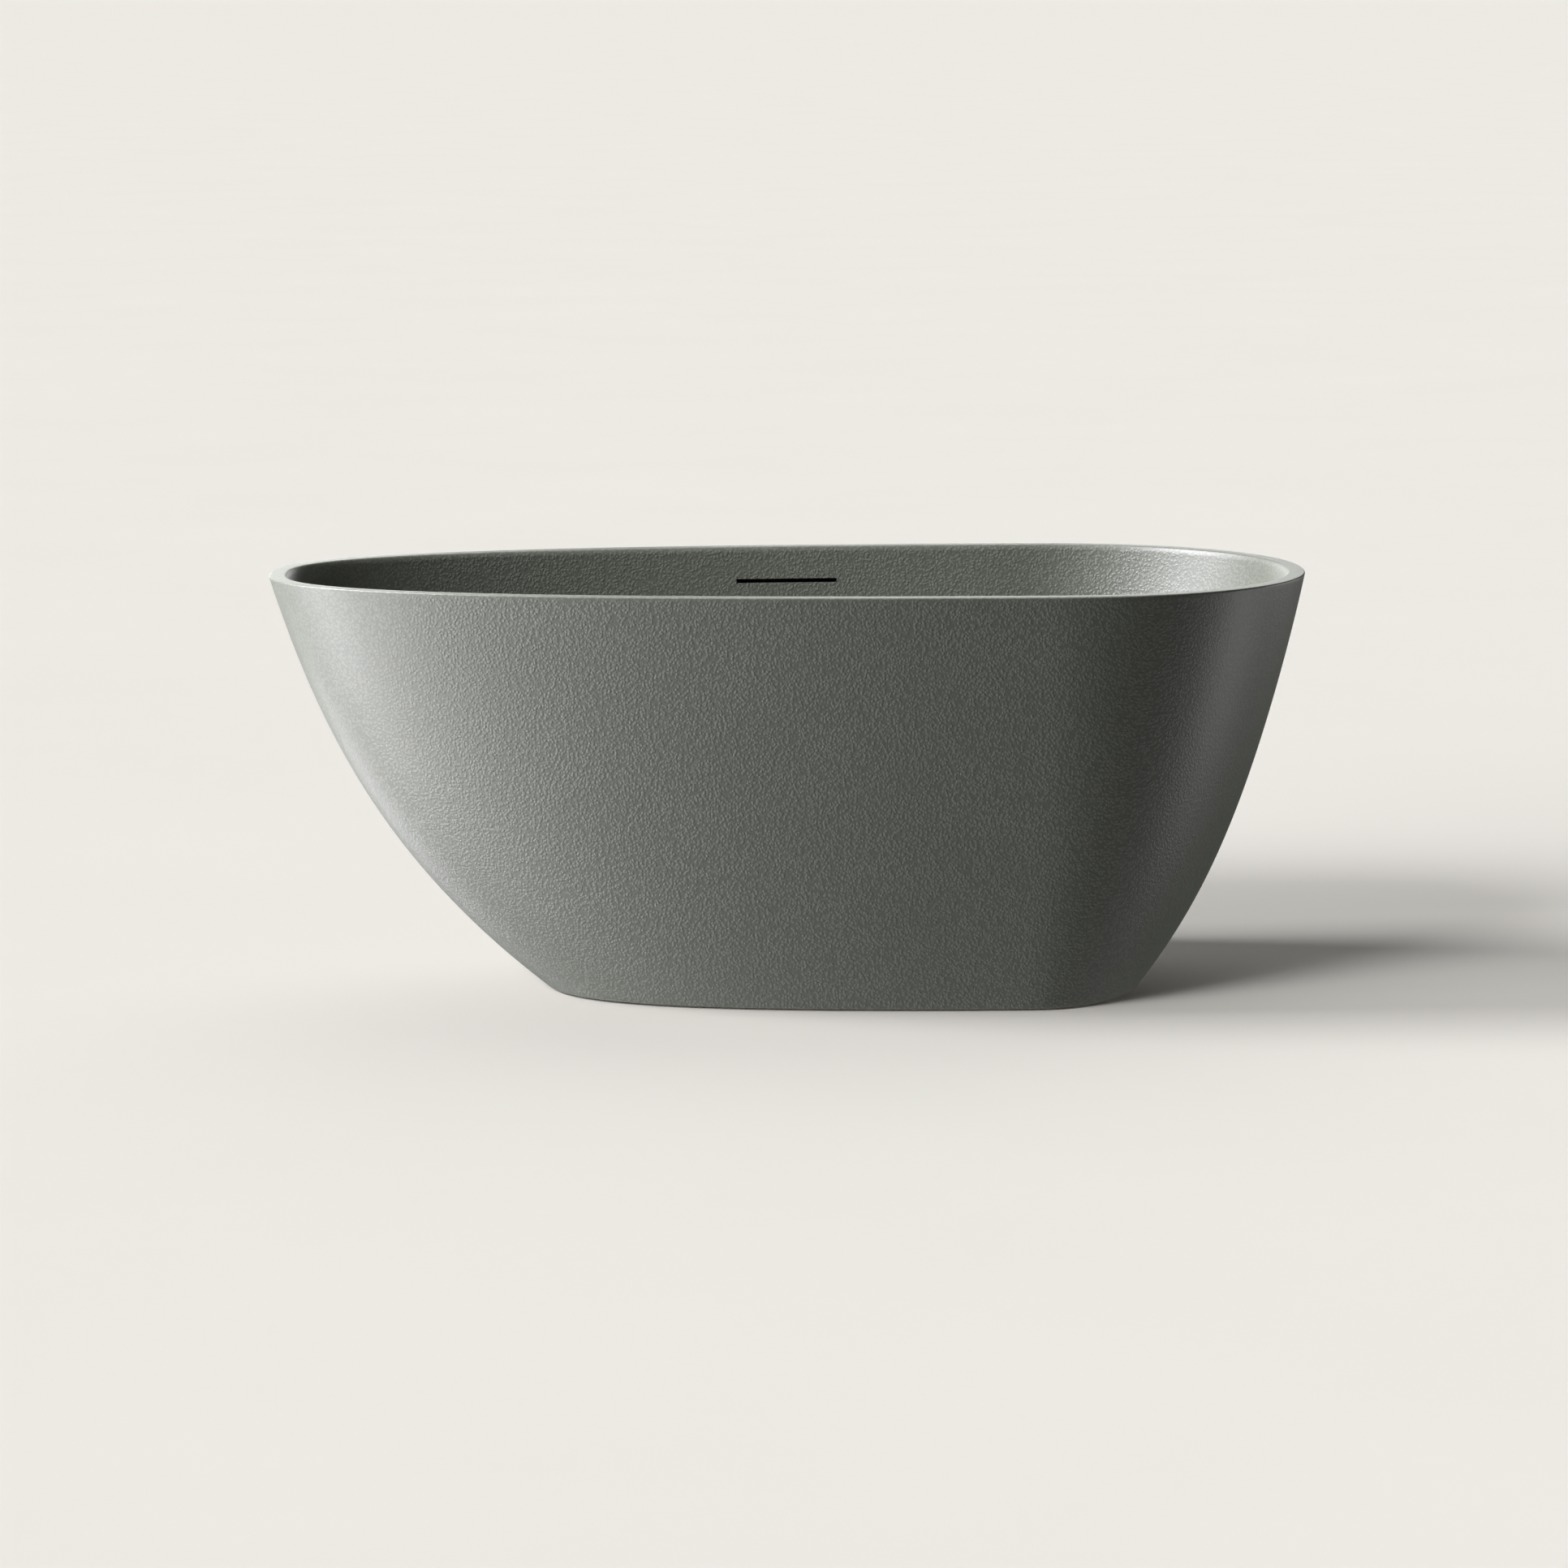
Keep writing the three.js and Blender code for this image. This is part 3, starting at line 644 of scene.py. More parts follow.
@dataclass(frozen=True)
class SpeckledFinish(Finish):
    """A finish of one material with drifting tone, fine relief and uneven gloss."""

    name: str = "speckled"
    colour: str = "#808080"
    shade: str = "#707070"
    blotch: float = 20.0
    grain: float = 1.2
    stretch: tuple[float, float, float] = (1.0, 1.0, 1.0)
    relief: float = 0.05
    roughness: float = 0.5
    unevenness: float = 0.08
    metallic: float = 0.0
    ior: float = 1.5
    subsurface: float = 0.0

    def draw(self, tree: bpy.types.NodeTree) -> bpy.types.Node:
        """Draws blotches for tone and stretched grain for relief and gloss.

        Args:
            tree: The material's node tree.

        Returns:
            The shader.
        """
        place = add_node(tree, "ShaderNodeTexCoord").outputs["Object"]
        drawn_out = add_node(tree, "ShaderNodeMapping", {"Scale": self.stretch}, {"Vector": place})
        blotch = add_node(
            tree, "ShaderNodeTexNoise", {"Scale": per_mm(self.blotch), "Detail": 4.0, "Roughness": 0.6},
            {"Vector": place},
        )
        grain = add_node(
            tree, "ShaderNodeTexNoise", {"Scale": per_mm(self.grain), "Detail": 3.0, "Roughness": 0.6},
            {"Vector": drawn_out.outputs["Vector"]},
        )
        tone = add_node(
            tree, "ShaderNodeMapRange", {"From Min": 0.3, "From Max": 0.7},
            {"Value": blotch.outputs["Fac"]}, interpolation_type="SMOOTHSTEP",
        )
        both = add_node(
            tree, "ShaderNodeMix", {"Factor": 0.4},
            {"A": tone.outputs["Result"], "B": grain.outputs["Fac"]}, data_type="FLOAT",
        )
        colour = add_node(
            tree, "ShaderNodeMix", {"A": linear(self.colour), "B": linear(self.shade)},
            {"Factor": both.outputs["Result"]}, data_type="RGBA",
        )
        gloss = add_node(
            tree,
            "ShaderNodeMapRange",
            {
                "From Min": 0.3,
                "From Max": 0.7,
                "To Min": max(0.02, self.roughness - self.unevenness),
                "To Max": self.roughness + self.unevenness,
            },
            {"Value": grain.outputs["Fac"]},
        )
        bump = add_node(
            tree, "ShaderNodeBump", {"Strength": 1.0, "Distance": self.relief * MM},
            {"Height": grain.outputs["Fac"]},
        )
        values = {"Metallic": self.metallic, "Subsurface Weight": self.subsurface}
        if self.metallic == 0:
            values["IOR"] = self.ior
        return add_node(
            tree,
            "ShaderNodeBsdfPrincipled",
            values,
            {
                "Base Color": colour.outputs["Result"],
                "Roughness": gloss.outputs["Result"],
                "Normal": bump.outputs["Normal"],
            },
        )


@dataclass(frozen=True)
class ZincPlate(Finish):
    """Mild steel, bright zinc plated and passivated.

    It gives a cool grey metal with soft spangles a few millimetres across and a faint yellow cast.
    """

    name: str = "zinc_plated_steel"
    colour: str = "#A3A8AB"
    cast: str = "#B5B19D"
    spangle: float = 7.0
    grain: float = 0.9
    roughness: float = 0.38

    def draw(self, tree: bpy.types.NodeTree) -> bpy.types.Node:
        """Draws crystal cells as patches of tone and gloss.

        Args:
            tree: The material's node tree.

        Returns:
            The shader.
        """
        place = add_node(tree, "ShaderNodeTexCoord").outputs["Object"]
        cells = add_node(
            tree, "ShaderNodeTexVoronoi", {"Scale": per_mm(self.spangle), "Randomness": 1.0},
            {"Vector": place},
        )
        patch = add_node(tree, "ShaderNodeSeparateColor", links={"Color": cells.outputs["Color"]})
        cloud = add_node(
            tree, "ShaderNodeTexNoise", {"Scale": per_mm(self.spangle * 5), "Detail": 3.0},
            {"Vector": place},
        )
        grain = add_node(
            tree, "ShaderNodeTexNoise", {"Scale": per_mm(self.grain), "Detail": 2.0}, {"Vector": place},
        )
        tone = add_node(
            tree, "ShaderNodeMix", {"Factor": 0.35},
            {"A": cloud.outputs["Fac"], "B": patch.outputs["Red"]}, data_type="FLOAT",
        )
        colour = add_node(
            tree, "ShaderNodeMix", {"A": linear(self.colour), "B": linear(self.cast)},
            {"Factor": tone.outputs["Result"]}, data_type="RGBA",
        )
        gloss = add_node(
            tree, "ShaderNodeMapRange",
            {"To Min": self.roughness - 0.08, "To Max": self.roughness + 0.14},
            {"Value": patch.outputs["Green"]},
        )
        bump = add_node(tree, "ShaderNodeBump", {"Distance": 0.02 * MM}, {"Height": grain.outputs["Fac"]})
        return add_node(
            tree,
            "ShaderNodeBsdfPrincipled",
            {"Metallic": 1.0},
            {
                "Base Color": colour.outputs["Result"],
                "Roughness": gloss.outputs["Result"],
                "Normal": bump.outputs["Normal"],
            },
        )


@dataclass(frozen=True)
class TurnedSteel(Finish):
    """Stainless steel, brushed while it turned in a lathe.

    It gives a bright warm-grey metal with fine rings about the piece's own axis.
    """

    name: str = "turned_stainless_steel"
    colour: str = "#C4C1BA"
    shade: str = "#A9A69F"
    ring: float = 0.5
    roughness: float = 0.26

    def draw(self, tree: bpy.types.NodeTree) -> bpy.types.Node:
        """Draws rings by distance from the piece's axis.

        Args:
            tree: The material's node tree.

        Returns:
            The shader.
        """
        place = add_node(tree, "ShaderNodeTexCoord").outputs["Object"]
        split = add_node(tree, "ShaderNodeSeparateXYZ", links={"Vector": place})
        flat = add_node(
            tree, "ShaderNodeCombineXYZ", links={"X": split.outputs["X"], "Y": split.outputs["Y"]},
        )
        reach = add_node(tree, "ShaderNodeVectorMath", links={0: flat.outputs["Vector"]}, operation="LENGTH")
        along = add_node(
            tree, "ShaderNodeCombineXYZ", links={"X": reach.outputs["Value"], "Z": split.outputs["Z"]},
        )
        rings = add_node(
            tree, "ShaderNodeTexNoise", {"Scale": per_mm(self.ring), "Detail": 3.0, "Roughness": 0.7},
            {"Vector": along.outputs["Vector"]},
        )
        colour = add_node(
            tree, "ShaderNodeMix", {"A": linear(self.colour), "B": linear(self.shade)},
            {"Factor": rings.outputs["Fac"]}, data_type="RGBA",
        )
        gloss = add_node(
            tree, "ShaderNodeMapRange",
            {"To Min": self.roughness - 0.08, "To Max": self.roughness + 0.16},
            {"Value": rings.outputs["Fac"]},
        )
        bump = add_node(
            tree, "ShaderNodeBump", {"Distance": 0.015 * MM}, {"Height": rings.outputs["Fac"]},
        )
        return add_node(
            tree,
            "ShaderNodeBsdfPrincipled",
            {"Metallic": 1.0, "Anisotropic": 0.5},
            {
                "Base Color": colour.outputs["Result"],
                "Roughness": gloss.outputs["Result"],
                "Normal": bump.outputs["Normal"],
            },
        )


@dataclass(frozen=True)
class FibreLaminate(Finish):
    """Chopped glass strands laid up in polyester resin behind the gelcoat.

    It gives a yellow-grey, half-glossy back with crossed bundles of pale fibre standing proud.
    """

    name: str = "chopped_strand_laminate"
    colour: str = "#A9A48F"
    strand: str = "#C9C5B2"
    pitch: float = 5.0
    roughness: float = 0.36
    turns: tuple[tuple[float, float, float], ...] = ((0.3, 0.2, 0.5), (1.2, 0.9, 2.4), (2.2, 1.7, 4.1))

    def draw(self, tree: bpy.types.NodeTree) -> bpy.types.Node:
        """Draws three layers of stretched noise, each turned another way, as bundles of strands.

        Args:
            tree: The material's node tree.

        Returns:
            The shader.
        """
        place = add_node(tree, "ShaderNodeTexCoord").outputs["Object"]
        layers: list[bpy.types.NodeSocket] = []
        for turn in self.turns:
            turned = add_node(
                tree, "ShaderNodeMapping", {"Rotation": turn, "Scale": (0.12, 1.0, 1.0)},
                {"Vector": place},
            )
            layer = add_node(
                tree, "ShaderNodeTexNoise",
                {"Scale": per_mm(self.pitch), "Detail": 2.0, "Distortion": 0.6},
                {"Vector": turned.outputs["Vector"]},
            )
            layers.append(layer.outputs["Fac"])
        first = add_node(tree, "ShaderNodeMath", links={0: layers[0], 1: layers[1]}, operation="MAXIMUM")
        mat = add_node(
            tree, "ShaderNodeMath", links={0: first.outputs["Value"], 1: layers[2]}, operation="MAXIMUM",
        )
        bundle = add_node(
            tree, "ShaderNodeMapRange", {"From Min": 0.5, "From Max": 0.78},
            {"Value": mat.outputs["Value"]}, interpolation_type="SMOOTHSTEP",
        )
        colour = add_node(
            tree, "ShaderNodeMix", {"A": linear(self.colour), "B": linear(self.strand)},
            {"Factor": bundle.outputs["Result"]}, data_type="RGBA",
        )
        gloss = add_node(
            tree, "ShaderNodeMapRange",
            {"To Min": self.roughness - 0.08, "To Max": self.roughness + 0.18},
            {"Value": bundle.outputs["Result"]},
        )
        bump = add_node(
            tree, "ShaderNodeBump", {"Distance": 0.35 * MM}, {"Height": bundle.outputs["Result"]},
        )
        return add_node(
            tree,
            "ShaderNodeBsdfPrincipled",
            {"IOR": 1.53},
            {
                "Base Color": colour.outputs["Result"],
                "Roughness": gloss.outputs["Result"],
                "Normal": bump.outputs["Normal"],
            },
        )


@dataclass(frozen=True)
class BirchPlywood(Finish):
    """Birch plywood, sanded and sealed.

    It gives pale faces with long soft figure, and edges striped by the plies.
    """

    name: str = "sealed_birch_plywood"
    colour: str = "#C9A97C"
    late: str = "#AE8858"
    glue: str = "#6F5236"
    ply: float = 1.5
    figure: float = 16.0
    fibre: float = 1.4
    roughness: float = 0.5

    def draw(self, tree: bpy.types.NodeTree) -> bpy.types.Node:
        """Draws figure along X on the faces and ply lines by height on the edges.

        Args:
            tree: The material's node tree.

        Returns:
            The shader.
        """
        coordinates = add_node(tree, "ShaderNodeTexCoord")
        place = coordinates.outputs["Object"]
        long = add_node(tree, "ShaderNodeMapping", {"Scale": (0.09, 1.0, 1.0)}, {"Vector": place})
        figure = add_node(
            tree, "ShaderNodeTexNoise", {"Scale": per_mm(self.figure), "Detail": 4.0, "Distortion": 0.8},
            {"Vector": long.outputs["Vector"]},
        )
        fibre = add_node(
            tree, "ShaderNodeTexNoise", {"Scale": per_mm(self.fibre), "Detail": 3.0},
            {"Vector": long.outputs["Vector"]},
        )
        face = add_node(
            tree, "ShaderNodeMix", {"Factor": 0.35},
            {"A": figure.outputs["Fac"], "B": fibre.outputs["Fac"]}, data_type="FLOAT",
        )
        wood = add_node(
            tree, "ShaderNodeMix", {"A": linear(self.colour), "B": linear(self.late)},
            {"Factor": face.outputs["Result"]}, data_type="RGBA",
        )
        split = add_node(tree, "ShaderNodeSeparateXYZ", links={"Vector": place})
        plies = add_node(
            tree, "ShaderNodeMath", {1: FULL_TURN / 2 * per_mm(self.ply)}, {0: split.outputs["Z"]},
            operation="MULTIPLY",
        )
        wave = add_node(tree, "ShaderNodeMath", links={0: plies.outputs["Value"]}, operation="SINE")
        line = add_node(
            tree, "ShaderNodeMapRange", {"From Min": -0.6, "From Max": 0.6},
            {"Value": wave.outputs["Value"]},
        )
        edge = add_node(
            tree, "ShaderNodeMix", {"A": linear(self.colour), "B": linear(self.glue)},
            {"Factor": line.outputs["Result"]}, data_type="RGBA",
        )
        facing = add_node(tree, "ShaderNodeSeparateXYZ", links={"Vector": coordinates.outputs["Normal"]})
        upright = add_node(tree, "ShaderNodeMath", links={0: facing.outputs["Z"]}, operation="ABSOLUTE")
        flat = add_node(
            tree, "ShaderNodeMapRange", {"From Min": 0.4, "From Max": 0.6},
            {"Value": upright.outputs["Value"]},
        )
        colour = add_node(
            tree,
            "ShaderNodeMix",
            links={
                "Factor": flat.outputs["Result"],
                "A": edge.outputs["Result"],
                "B": wood.outputs["Result"],
            },
            data_type="RGBA",
        )
        gloss = add_node(
            tree, "ShaderNodeMapRange",
            {"To Min": self.roughness - 0.08, "To Max": self.roughness + 0.12},
            {"Value": fibre.outputs["Fac"]},
        )
        bump = add_node(tree, "ShaderNodeBump", {"Distance": 0.08 * MM}, {"Height": fibre.outputs["Fac"]})
        return add_node(
            tree,
            "ShaderNodeBsdfPrincipled",
            {"IOR": 1.5},
            {
                "Base Color": colour.outputs["Result"],
                "Roughness": gloss.outputs["Result"],
                "Normal": bump.outputs["Normal"],
            },
        )


GELCOAT = PebbledGelcoat()
# The same moulding for the basin, whose overflow slot is cut; the slot's cut edge takes near-black painted
# shade in place of the shadow inside the slot
BASIN_GELCOAT = PebbledGelcoat(
    name="slotted_matte_gelcoat", slot_middle=(7.0, 350.0, 547.0), slot_half=(76.05, 80.0, 3.03),
)
# The plug's cap is moulded in a polished tool, so its pebbles all but vanish
CAP_GELCOAT = PebbledGelcoat(name="rubbed_matte_gelcoat", relief=0.06, smooth_from=2000.0, smooth_to=2001.0)
LAMINATE = FibreLaminate()
ZINC = ZincPlate()
STEEL = TurnedSteel()
PLYWOOD = BirchPlywood()
# Injection-moulded polypropylene: a waxy off-white with spark-eroded grain and uneven satin gloss
POLYPROPYLENE = SpeckledFinish(
    name="moulded_white_polypropylene", colour="#D6D6D1", shade="#C8C8C2", blotch=35.0, grain=0.8,
    relief=0.03, roughness=0.42, ior=1.49, subsurface=0.08,
)
# The overflow chamber's own polypropylene is white; it is drawn near-black as painted shade, so that nothing
# pale shows through the slot
SHADE_BLACK_POLYPROPYLENE = SpeckledFinish(
    name="painted_shade_black_polypropylene", colour="#1B1B1A", shade="#131312", blotch=35.0, grain=0.8,
    relief=0.03, roughness=0.55, ior=1.49,
)
# Blown and corrugated polyethylene: the same waxy white, softer and more drawn out
POLYETHYLENE = SpeckledFinish(
    name="corrugated_polyethylene", colour="#D2D3D0", shade="#BFC1BE", blotch=18.0, grain=0.6,
    relief=0.02, roughness=0.48, ior=1.51, subsurface=0.12,
)
# Compression-moulded nitrile rubber: near black, dusty, with a fine sandblasted grain
NITRILE = SpeckledFinish(
    name="moulded_nitrile_rubber", colour="#1F2021", shade="#2B2B2B", blotch=9.0, grain=0.7,
    relief=0.05, roughness=0.72, ior=1.52,
)
# Hybrid polymer adhesive squeezed from a cartridge: putty grey with a skinned, lumpy surface
MASTIC = SpeckledFinish(
    name="cured_polymer_adhesive", colour="#B8B4A9", shade="#A7A297", blotch=8.0, grain=5.0,
    relief=0.6, roughness=0.55, ior=1.48,
)
# Steel strip for clamps, bright rolled: fine lines run along the band
STRIP = SpeckledFinish(
    name="rolled_stainless_strip", colour="#BDBBB5", shade="#9F9D97", blotch=6.0, grain=0.5,
    stretch=(1.0, 1.0, 6.0), relief=0.01, roughness=0.3, metallic=1.0,
)
# Welds, zinc plated with the frame: duller and mottled by the heat
WELD = SpeckledFinish(
    name="plated_weld", colour="#8B8D8C", shade="#6F6C66", blotch=5.0, grain=1.5,
    relief=0.15, roughness=0.5, unevenness=0.15, metallic=1.0,
)


# ---- The bath's surface ----


@dataclass(frozen=True)
class Flare:
    """How an end of the bath spreads from its foot to its rim: slopes there, and extra fullness."""

    foot: float
    rim: float
    belly: float

    def share(self, t: float) -> float:
        """How far the end has spread, from 0 at the foot to 1 at the rim.

        Args:
            t: How far up the bath, from 0 at the foot to 1 at the rim.

        Returns:
            The share of the spread from foot to rim.
        """
        from_foot = (t**3 - 2 * t**2 + t) * self.foot
        to_rim = (t**3 - t**2) * self.rim
        return from_foot + 3 * t**2 - 2 * t**3 + to_rim + self.belly * (t * (1 - t)) ** 2


@dataclass(frozen=True)
class Plan:
    """A level outline: where its ends reach, where it is widest, its half width and its squareness."""

    left: float
    right: float
    widest: float
    half: float
    square_left: float
    square_right: float

    def ring(self, z: float, steps: int) -> np.ndarray:
        """The outline's points at one height, counter-clockwise from above.

        Args:
            z: The height.
            steps: Points round the outline.

        Returns:
            The points, one to a row.
        """
        angle = np.linspace(0, FULL_TURN, steps, endpoint=False)
        c, s = np.cos(angle), np.sin(angle)
        c[np.abs(c) < 1e-12], s[np.abs(s) < 1e-12] = 0.0, 0.0
        ease = (c + 1) / 2
        squareness = self.square_left + (self.square_right - self.square_left) * ease**2 * (3 - 2 * ease)
        reach = np.where(c < 0, self.widest - self.left, self.right - self.widest)
        x = self.widest + reach * np.sign(c) * np.abs(c) ** (2 / squareness)
        y = self.half * np.sign(s) * np.abs(s) ** (2 / squareness)
        return np.column_stack([x, y, np.full(steps, z)])


@dataclass(frozen=True)
class BathForm:
    """The one surface that the shell and the basin are both drawn from."""

    length: float = 1500.0
    width: float = 736.0
    height: float = 598.0
    foot_gap: float = 3.0
    rim: Plan = Plan(-750.0, 750.0, 344.0, 368.0, 2.6, 2.16)
    foot: Plan = Plan(-355.0, 515.0, 320.0, 291.0, 2.96, 2.11)
    backrest: Flare = Flare(1.945, 0.47, -0.08)
    steep_end: Flare = Flare(2.05, 0.51, -0.51)
    rim_width: float = 24.0
    basin_skin: float = 8.0
    floor_height: float = 120.0
    floor_fall: float = 6.0
    floor_round: float = 58.0
    wall_spread: float = 56.0
    steps: int = 384

    def plan_at(self, z: float) -> Plan:
        """The outer shell's outline at a height.

        Args:
            z: The height.

        Returns:
            The outline.
        """
        t = (z - self.foot_gap) / (self.height - self.foot_gap)
        left, right = self.backrest.share(t), self.steep_end.share(t)
        middle = (left + right) / 2

        def mixed(key: str, share: float) -> float:
            """One measure of the outline, between foot and rim."""
            low, high = getattr(self.foot, key), getattr(self.rim, key)
            return low + (high - low) * share

        return Plan(
            mixed("left", left),
            mixed("right", right),
            mixed("widest", middle),
            mixed("half", middle),
            mixed("square_left", middle),
            mixed("square_right", middle),
        )

    def ring(self, z: float, depth: float) -> np.ndarray:
        """The outline at a height, moved in by a depth measured square to the shell's wall.

        Args:
            z: The height.
            depth: How deep below the shell's surface.

        Returns:
            The points, one to a row.
        """
        plan, below, above = self.plan_at(z), self.plan_at(z - 1), self.plan_at(z + 1)

        def square(key: str) -> float:
            """The depth as it measures level."""
            return depth * math.hypot(1, (getattr(above, key) - getattr(below, key)) / 2)

        inner = Plan(
            plan.left + square("left"),
            plan.right - square("right"),
            plan.widest,
            plan.half - square("half"),
            plan.square_left,
            plan.square_right,
        )
        return inner.ring(z, self.steps)

    def floor_edge(self, skin: float) -> float:
        """The height of the basin's floor at its edge, inside (skin 0) or behind."""
        return self.floor_height - self.basin_skin if skin > 0 else self.floor_height + self.floor_fall

    def basin_depth(self, z: float, skin: float) -> float:
        """How deep the basin's wall lies below the shell's surface, inside (skin 0) or behind.

        Args:
            z: The height.
            skin: 0 for the wall's inside, or its thickness for its back.

        Returns:
            The depth.
        """
        rounding = self.floor_round + skin
        rise = min(0.0, z - self.floor_edge(skin) - rounding)
        sweep = rounding - math.sqrt(max(0.0, rounding**2 - rise**2))
        down = (self.height - z) / (self.height - self.floor_height)
        return self.rim_width - skin + self.wall_spread * down + sweep

    def basin_rings(self, skin: float, top: float, wall_rows: int, corner_rows: int) -> list[np.ndarray]:
        """The basin's wall from the floor's edge up, inside (skin 0) or behind.

        Args:
            skin: 0 for the wall's inside, or its thickness for its back.
            top: The height where the rings end.
            wall_rows: Rows up the wall.
            corner_rows: Rows round the corner between floor and wall.

        Returns:
            The rings from the floor up.
        """
        bottom, rounding = self.floor_edge(skin), self.floor_round + skin
        turns = (math.pi / 2 * i / corner_rows for i in range(corner_rows))
        heights = [bottom + rounding * (1 - math.cos(turn)) for turn in turns]
        heights += list(np.linspace(bottom + rounding, top, wall_rows + 1))
        return [self.ring(z, self.basin_depth(z, skin)) for z in heights]


@dataclass
class Skins:
    """The outer shell and the inner basin, bonded under the rim."""

    form: BathForm = field(default_factory=BathForm)
    shell_skin: float = 6.0
    foot_reach: float = 20.0
    foot_thick: float = 8.0
    foot_round: float = 1.0
    rim_round: float = 2.5
    lip_depth: float = 9.0
    recess_radius: float = 37.5
    recess_depth: float = 4.0
    recess_round: float = 1.5
    drain_hole: float = 24.0
    slot_wide: float = 152.0
    slot_tall: float = 6.0
    slot_below_rim: float = 51.0
    outside_rows: int = 90
    inside_rows: int = 36
    basin_rows: int = 60
    basin_back_rows: int = 34
    corner_rows: int = 18
    back_corner_rows: int = 10
    floor_rows: int = 25
    rounding_rows: int = 6

    def shell(self) -> bpy.types.Object:
        """Builds the outer shell: gelcoat outside, laminate inside and on its turned-in foot.

        Returns:
            The shell.
        """
        form = self.form
        foot, top = form.foot_gap, form.height - self.lip_depth
        flange_top = foot + self.foot_thick
        outside = [form.ring(z, 0.0) for z in np.linspace(foot + self.foot_round, top, self.outside_rows)]
        turned_in = [form.ring(*self.corner_point(t)) for t in np.linspace(0, math.pi / 2, 5)[:-1]]
        shape = Shape().loft(turned_in + outside)
        inside = [form.ring(z, self.shell_skin) for z in np.linspace(top, flange_top, self.inside_rows)]
        inside += [form.ring(flange_top, self.foot_reach), form.ring(foot, self.foot_reach), turned_in[0]]
        shape.loft([outside[-1], *inside], dress=1)
        piece = shape.make("outer_shell_skin", Vector((0, 0, 0)))
        return settle(piece, Body.BATH.value, Slot.STONE, ["outer_shell"], [GELCOAT, LAMINATE])

    def corner_point(self, turn: float) -> tuple[float, float]:
        """Height and depth round the shell's bottom edge, from under it (0) to its side (a quarter turn)."""
        foot, radius = self.form.foot_gap, self.foot_round
        return foot + radius * (1 - math.cos(turn)), radius * (1 - math.sin(turn))

    def rim_rings(self) -> list[np.ndarray]:
        """The rim from its outer edge over the top to the start of the basin's wall.

        Returns:
            The rings, outermost first.
        """
        form, radius, top = self.form, self.rim_round, self.form.height
        rings = [form.ring(z, 0.0) for z in np.linspace(top - self.lip_depth, top - radius, 4)]
        for turn in np.linspace(0, math.pi / 2, self.rounding_rows + 1)[1:]:
            rings.append(form.ring(top - radius * (1 - math.sin(turn)), radius * (1 - math.cos(turn))))
        for depth in np.linspace(radius, form.rim_width - radius, 6)[1:]:
            rings.append(form.ring(top, float(depth)))
        for turn in np.linspace(0, math.pi / 2, self.rounding_rows + 1)[1:-1]:
            depth = form.rim_width - radius * (1 - math.sin(turn))
            rings.append(form.ring(top - radius * (1 - math.cos(turn)), depth))
        return rings

    def floor_rings(self, edge: np.ndarray) -> list[np.ndarray]:
        """The floor from its edge down to the drain's recess and hole.

        Args:
            edge: The last ring of the basin's wall.

        Returns:
            The rings, from the wall in.
        """
        form = self.form
        drain = centre_of("waste_flange") / MM
        rim_radius = self.recess_radius + self.recess_round

        def round_drain(radius: float, z: float) -> np.ndarray:
            """A ring about the drain's axis."""
            return circle(radius, z, form.steps) + np.array([drain.x, drain.y, 0.0])

        recess_rim = round_drain(rim_radius, form.floor_height)
        rings = []
        for share in np.linspace(0, 1, self.floor_rows + 1)[1:]:
            ring = edge + (recess_rim - edge) * share
            ring[:, 2] = form.floor_height + form.floor_fall * (1 - share) ** 2
            rings.append(ring)
        for turn in np.linspace(0, math.pi / 2, 5)[1:]:
            radius = rim_radius - self.recess_round * math.sin(turn)
            rings.append(round_drain(radius, form.floor_height - self.recess_round * (1 - math.cos(turn))))
        foot = form.floor_height - self.recess_depth
        rings += [round_drain(self.recess_radius, foot), round_drain(self.drain_hole, foot)]
        return rings

    def slot_cutter(self) -> bpy.types.Object:
        """The overflow slot's round-ended block, pushed through the back wall.

        Returns:
            The cutter.
        """
        form = self.form
        middle = centre_of("overflow_chamber") / MM
        radius = self.slot_tall / 2
        straight = self.slot_wide / 2 - radius
        turn = np.linspace(-math.pi / 2, math.pi / 2, 17)
        right = np.column_stack([straight + radius * np.cos(turn), radius * np.sin(turn)])
        outline = np.concatenate([right, -right])
        height = form.height - self.slot_below_rim
        along, up = outline[:, 0] + middle.x, outline[:, 1] + height
        ends = (form.width / 4, form.width / 2)
        rings = [np.column_stack([along, np.full(len(outline), y), up]) for y in ends]
        return Shape().loft(rings, caps=True).make("slot_cutter", Vector((0, 0, 0)))

    def basin(self) -> bpy.types.Object:
        """Builds the basin: rim, wall, floor and drain recess in gelcoat, laminate behind.

        Returns:
            The basin.
        """
        form = self.form
        face = self.rim_rings()
        wall = form.basin_rings(0.0, form.height - self.rim_round, self.basin_rows, self.corner_rows)
        face += wall[::-1]
        face += self.floor_rings(face[-1])
        hole_top = face[-1]
        under_floor = form.floor_height - form.basin_skin
        hole_foot = hole_top.copy()
        hole_foot[:, 2] = under_floor
        back_top = form.height - self.lip_depth
        back = form.basin_rings(form.basin_skin, back_top, self.basin_back_rows, self.back_corner_rows)
        shape = Shape().loft(face).loft([hole_top, hole_foot, *back, face[0]], dress=1)
        piece = shape.make("inner_basin_skin", Vector((0, 0, 0)))
        combined(piece, [self.slot_cutter()], "DIFFERENCE")
        return settle(piece, Body.BATH.value, Slot.STONE, ["inner_basin"], [BASIN_GELCOAT, LAMINATE])


# ---- Waste: flange, plug and trap ----


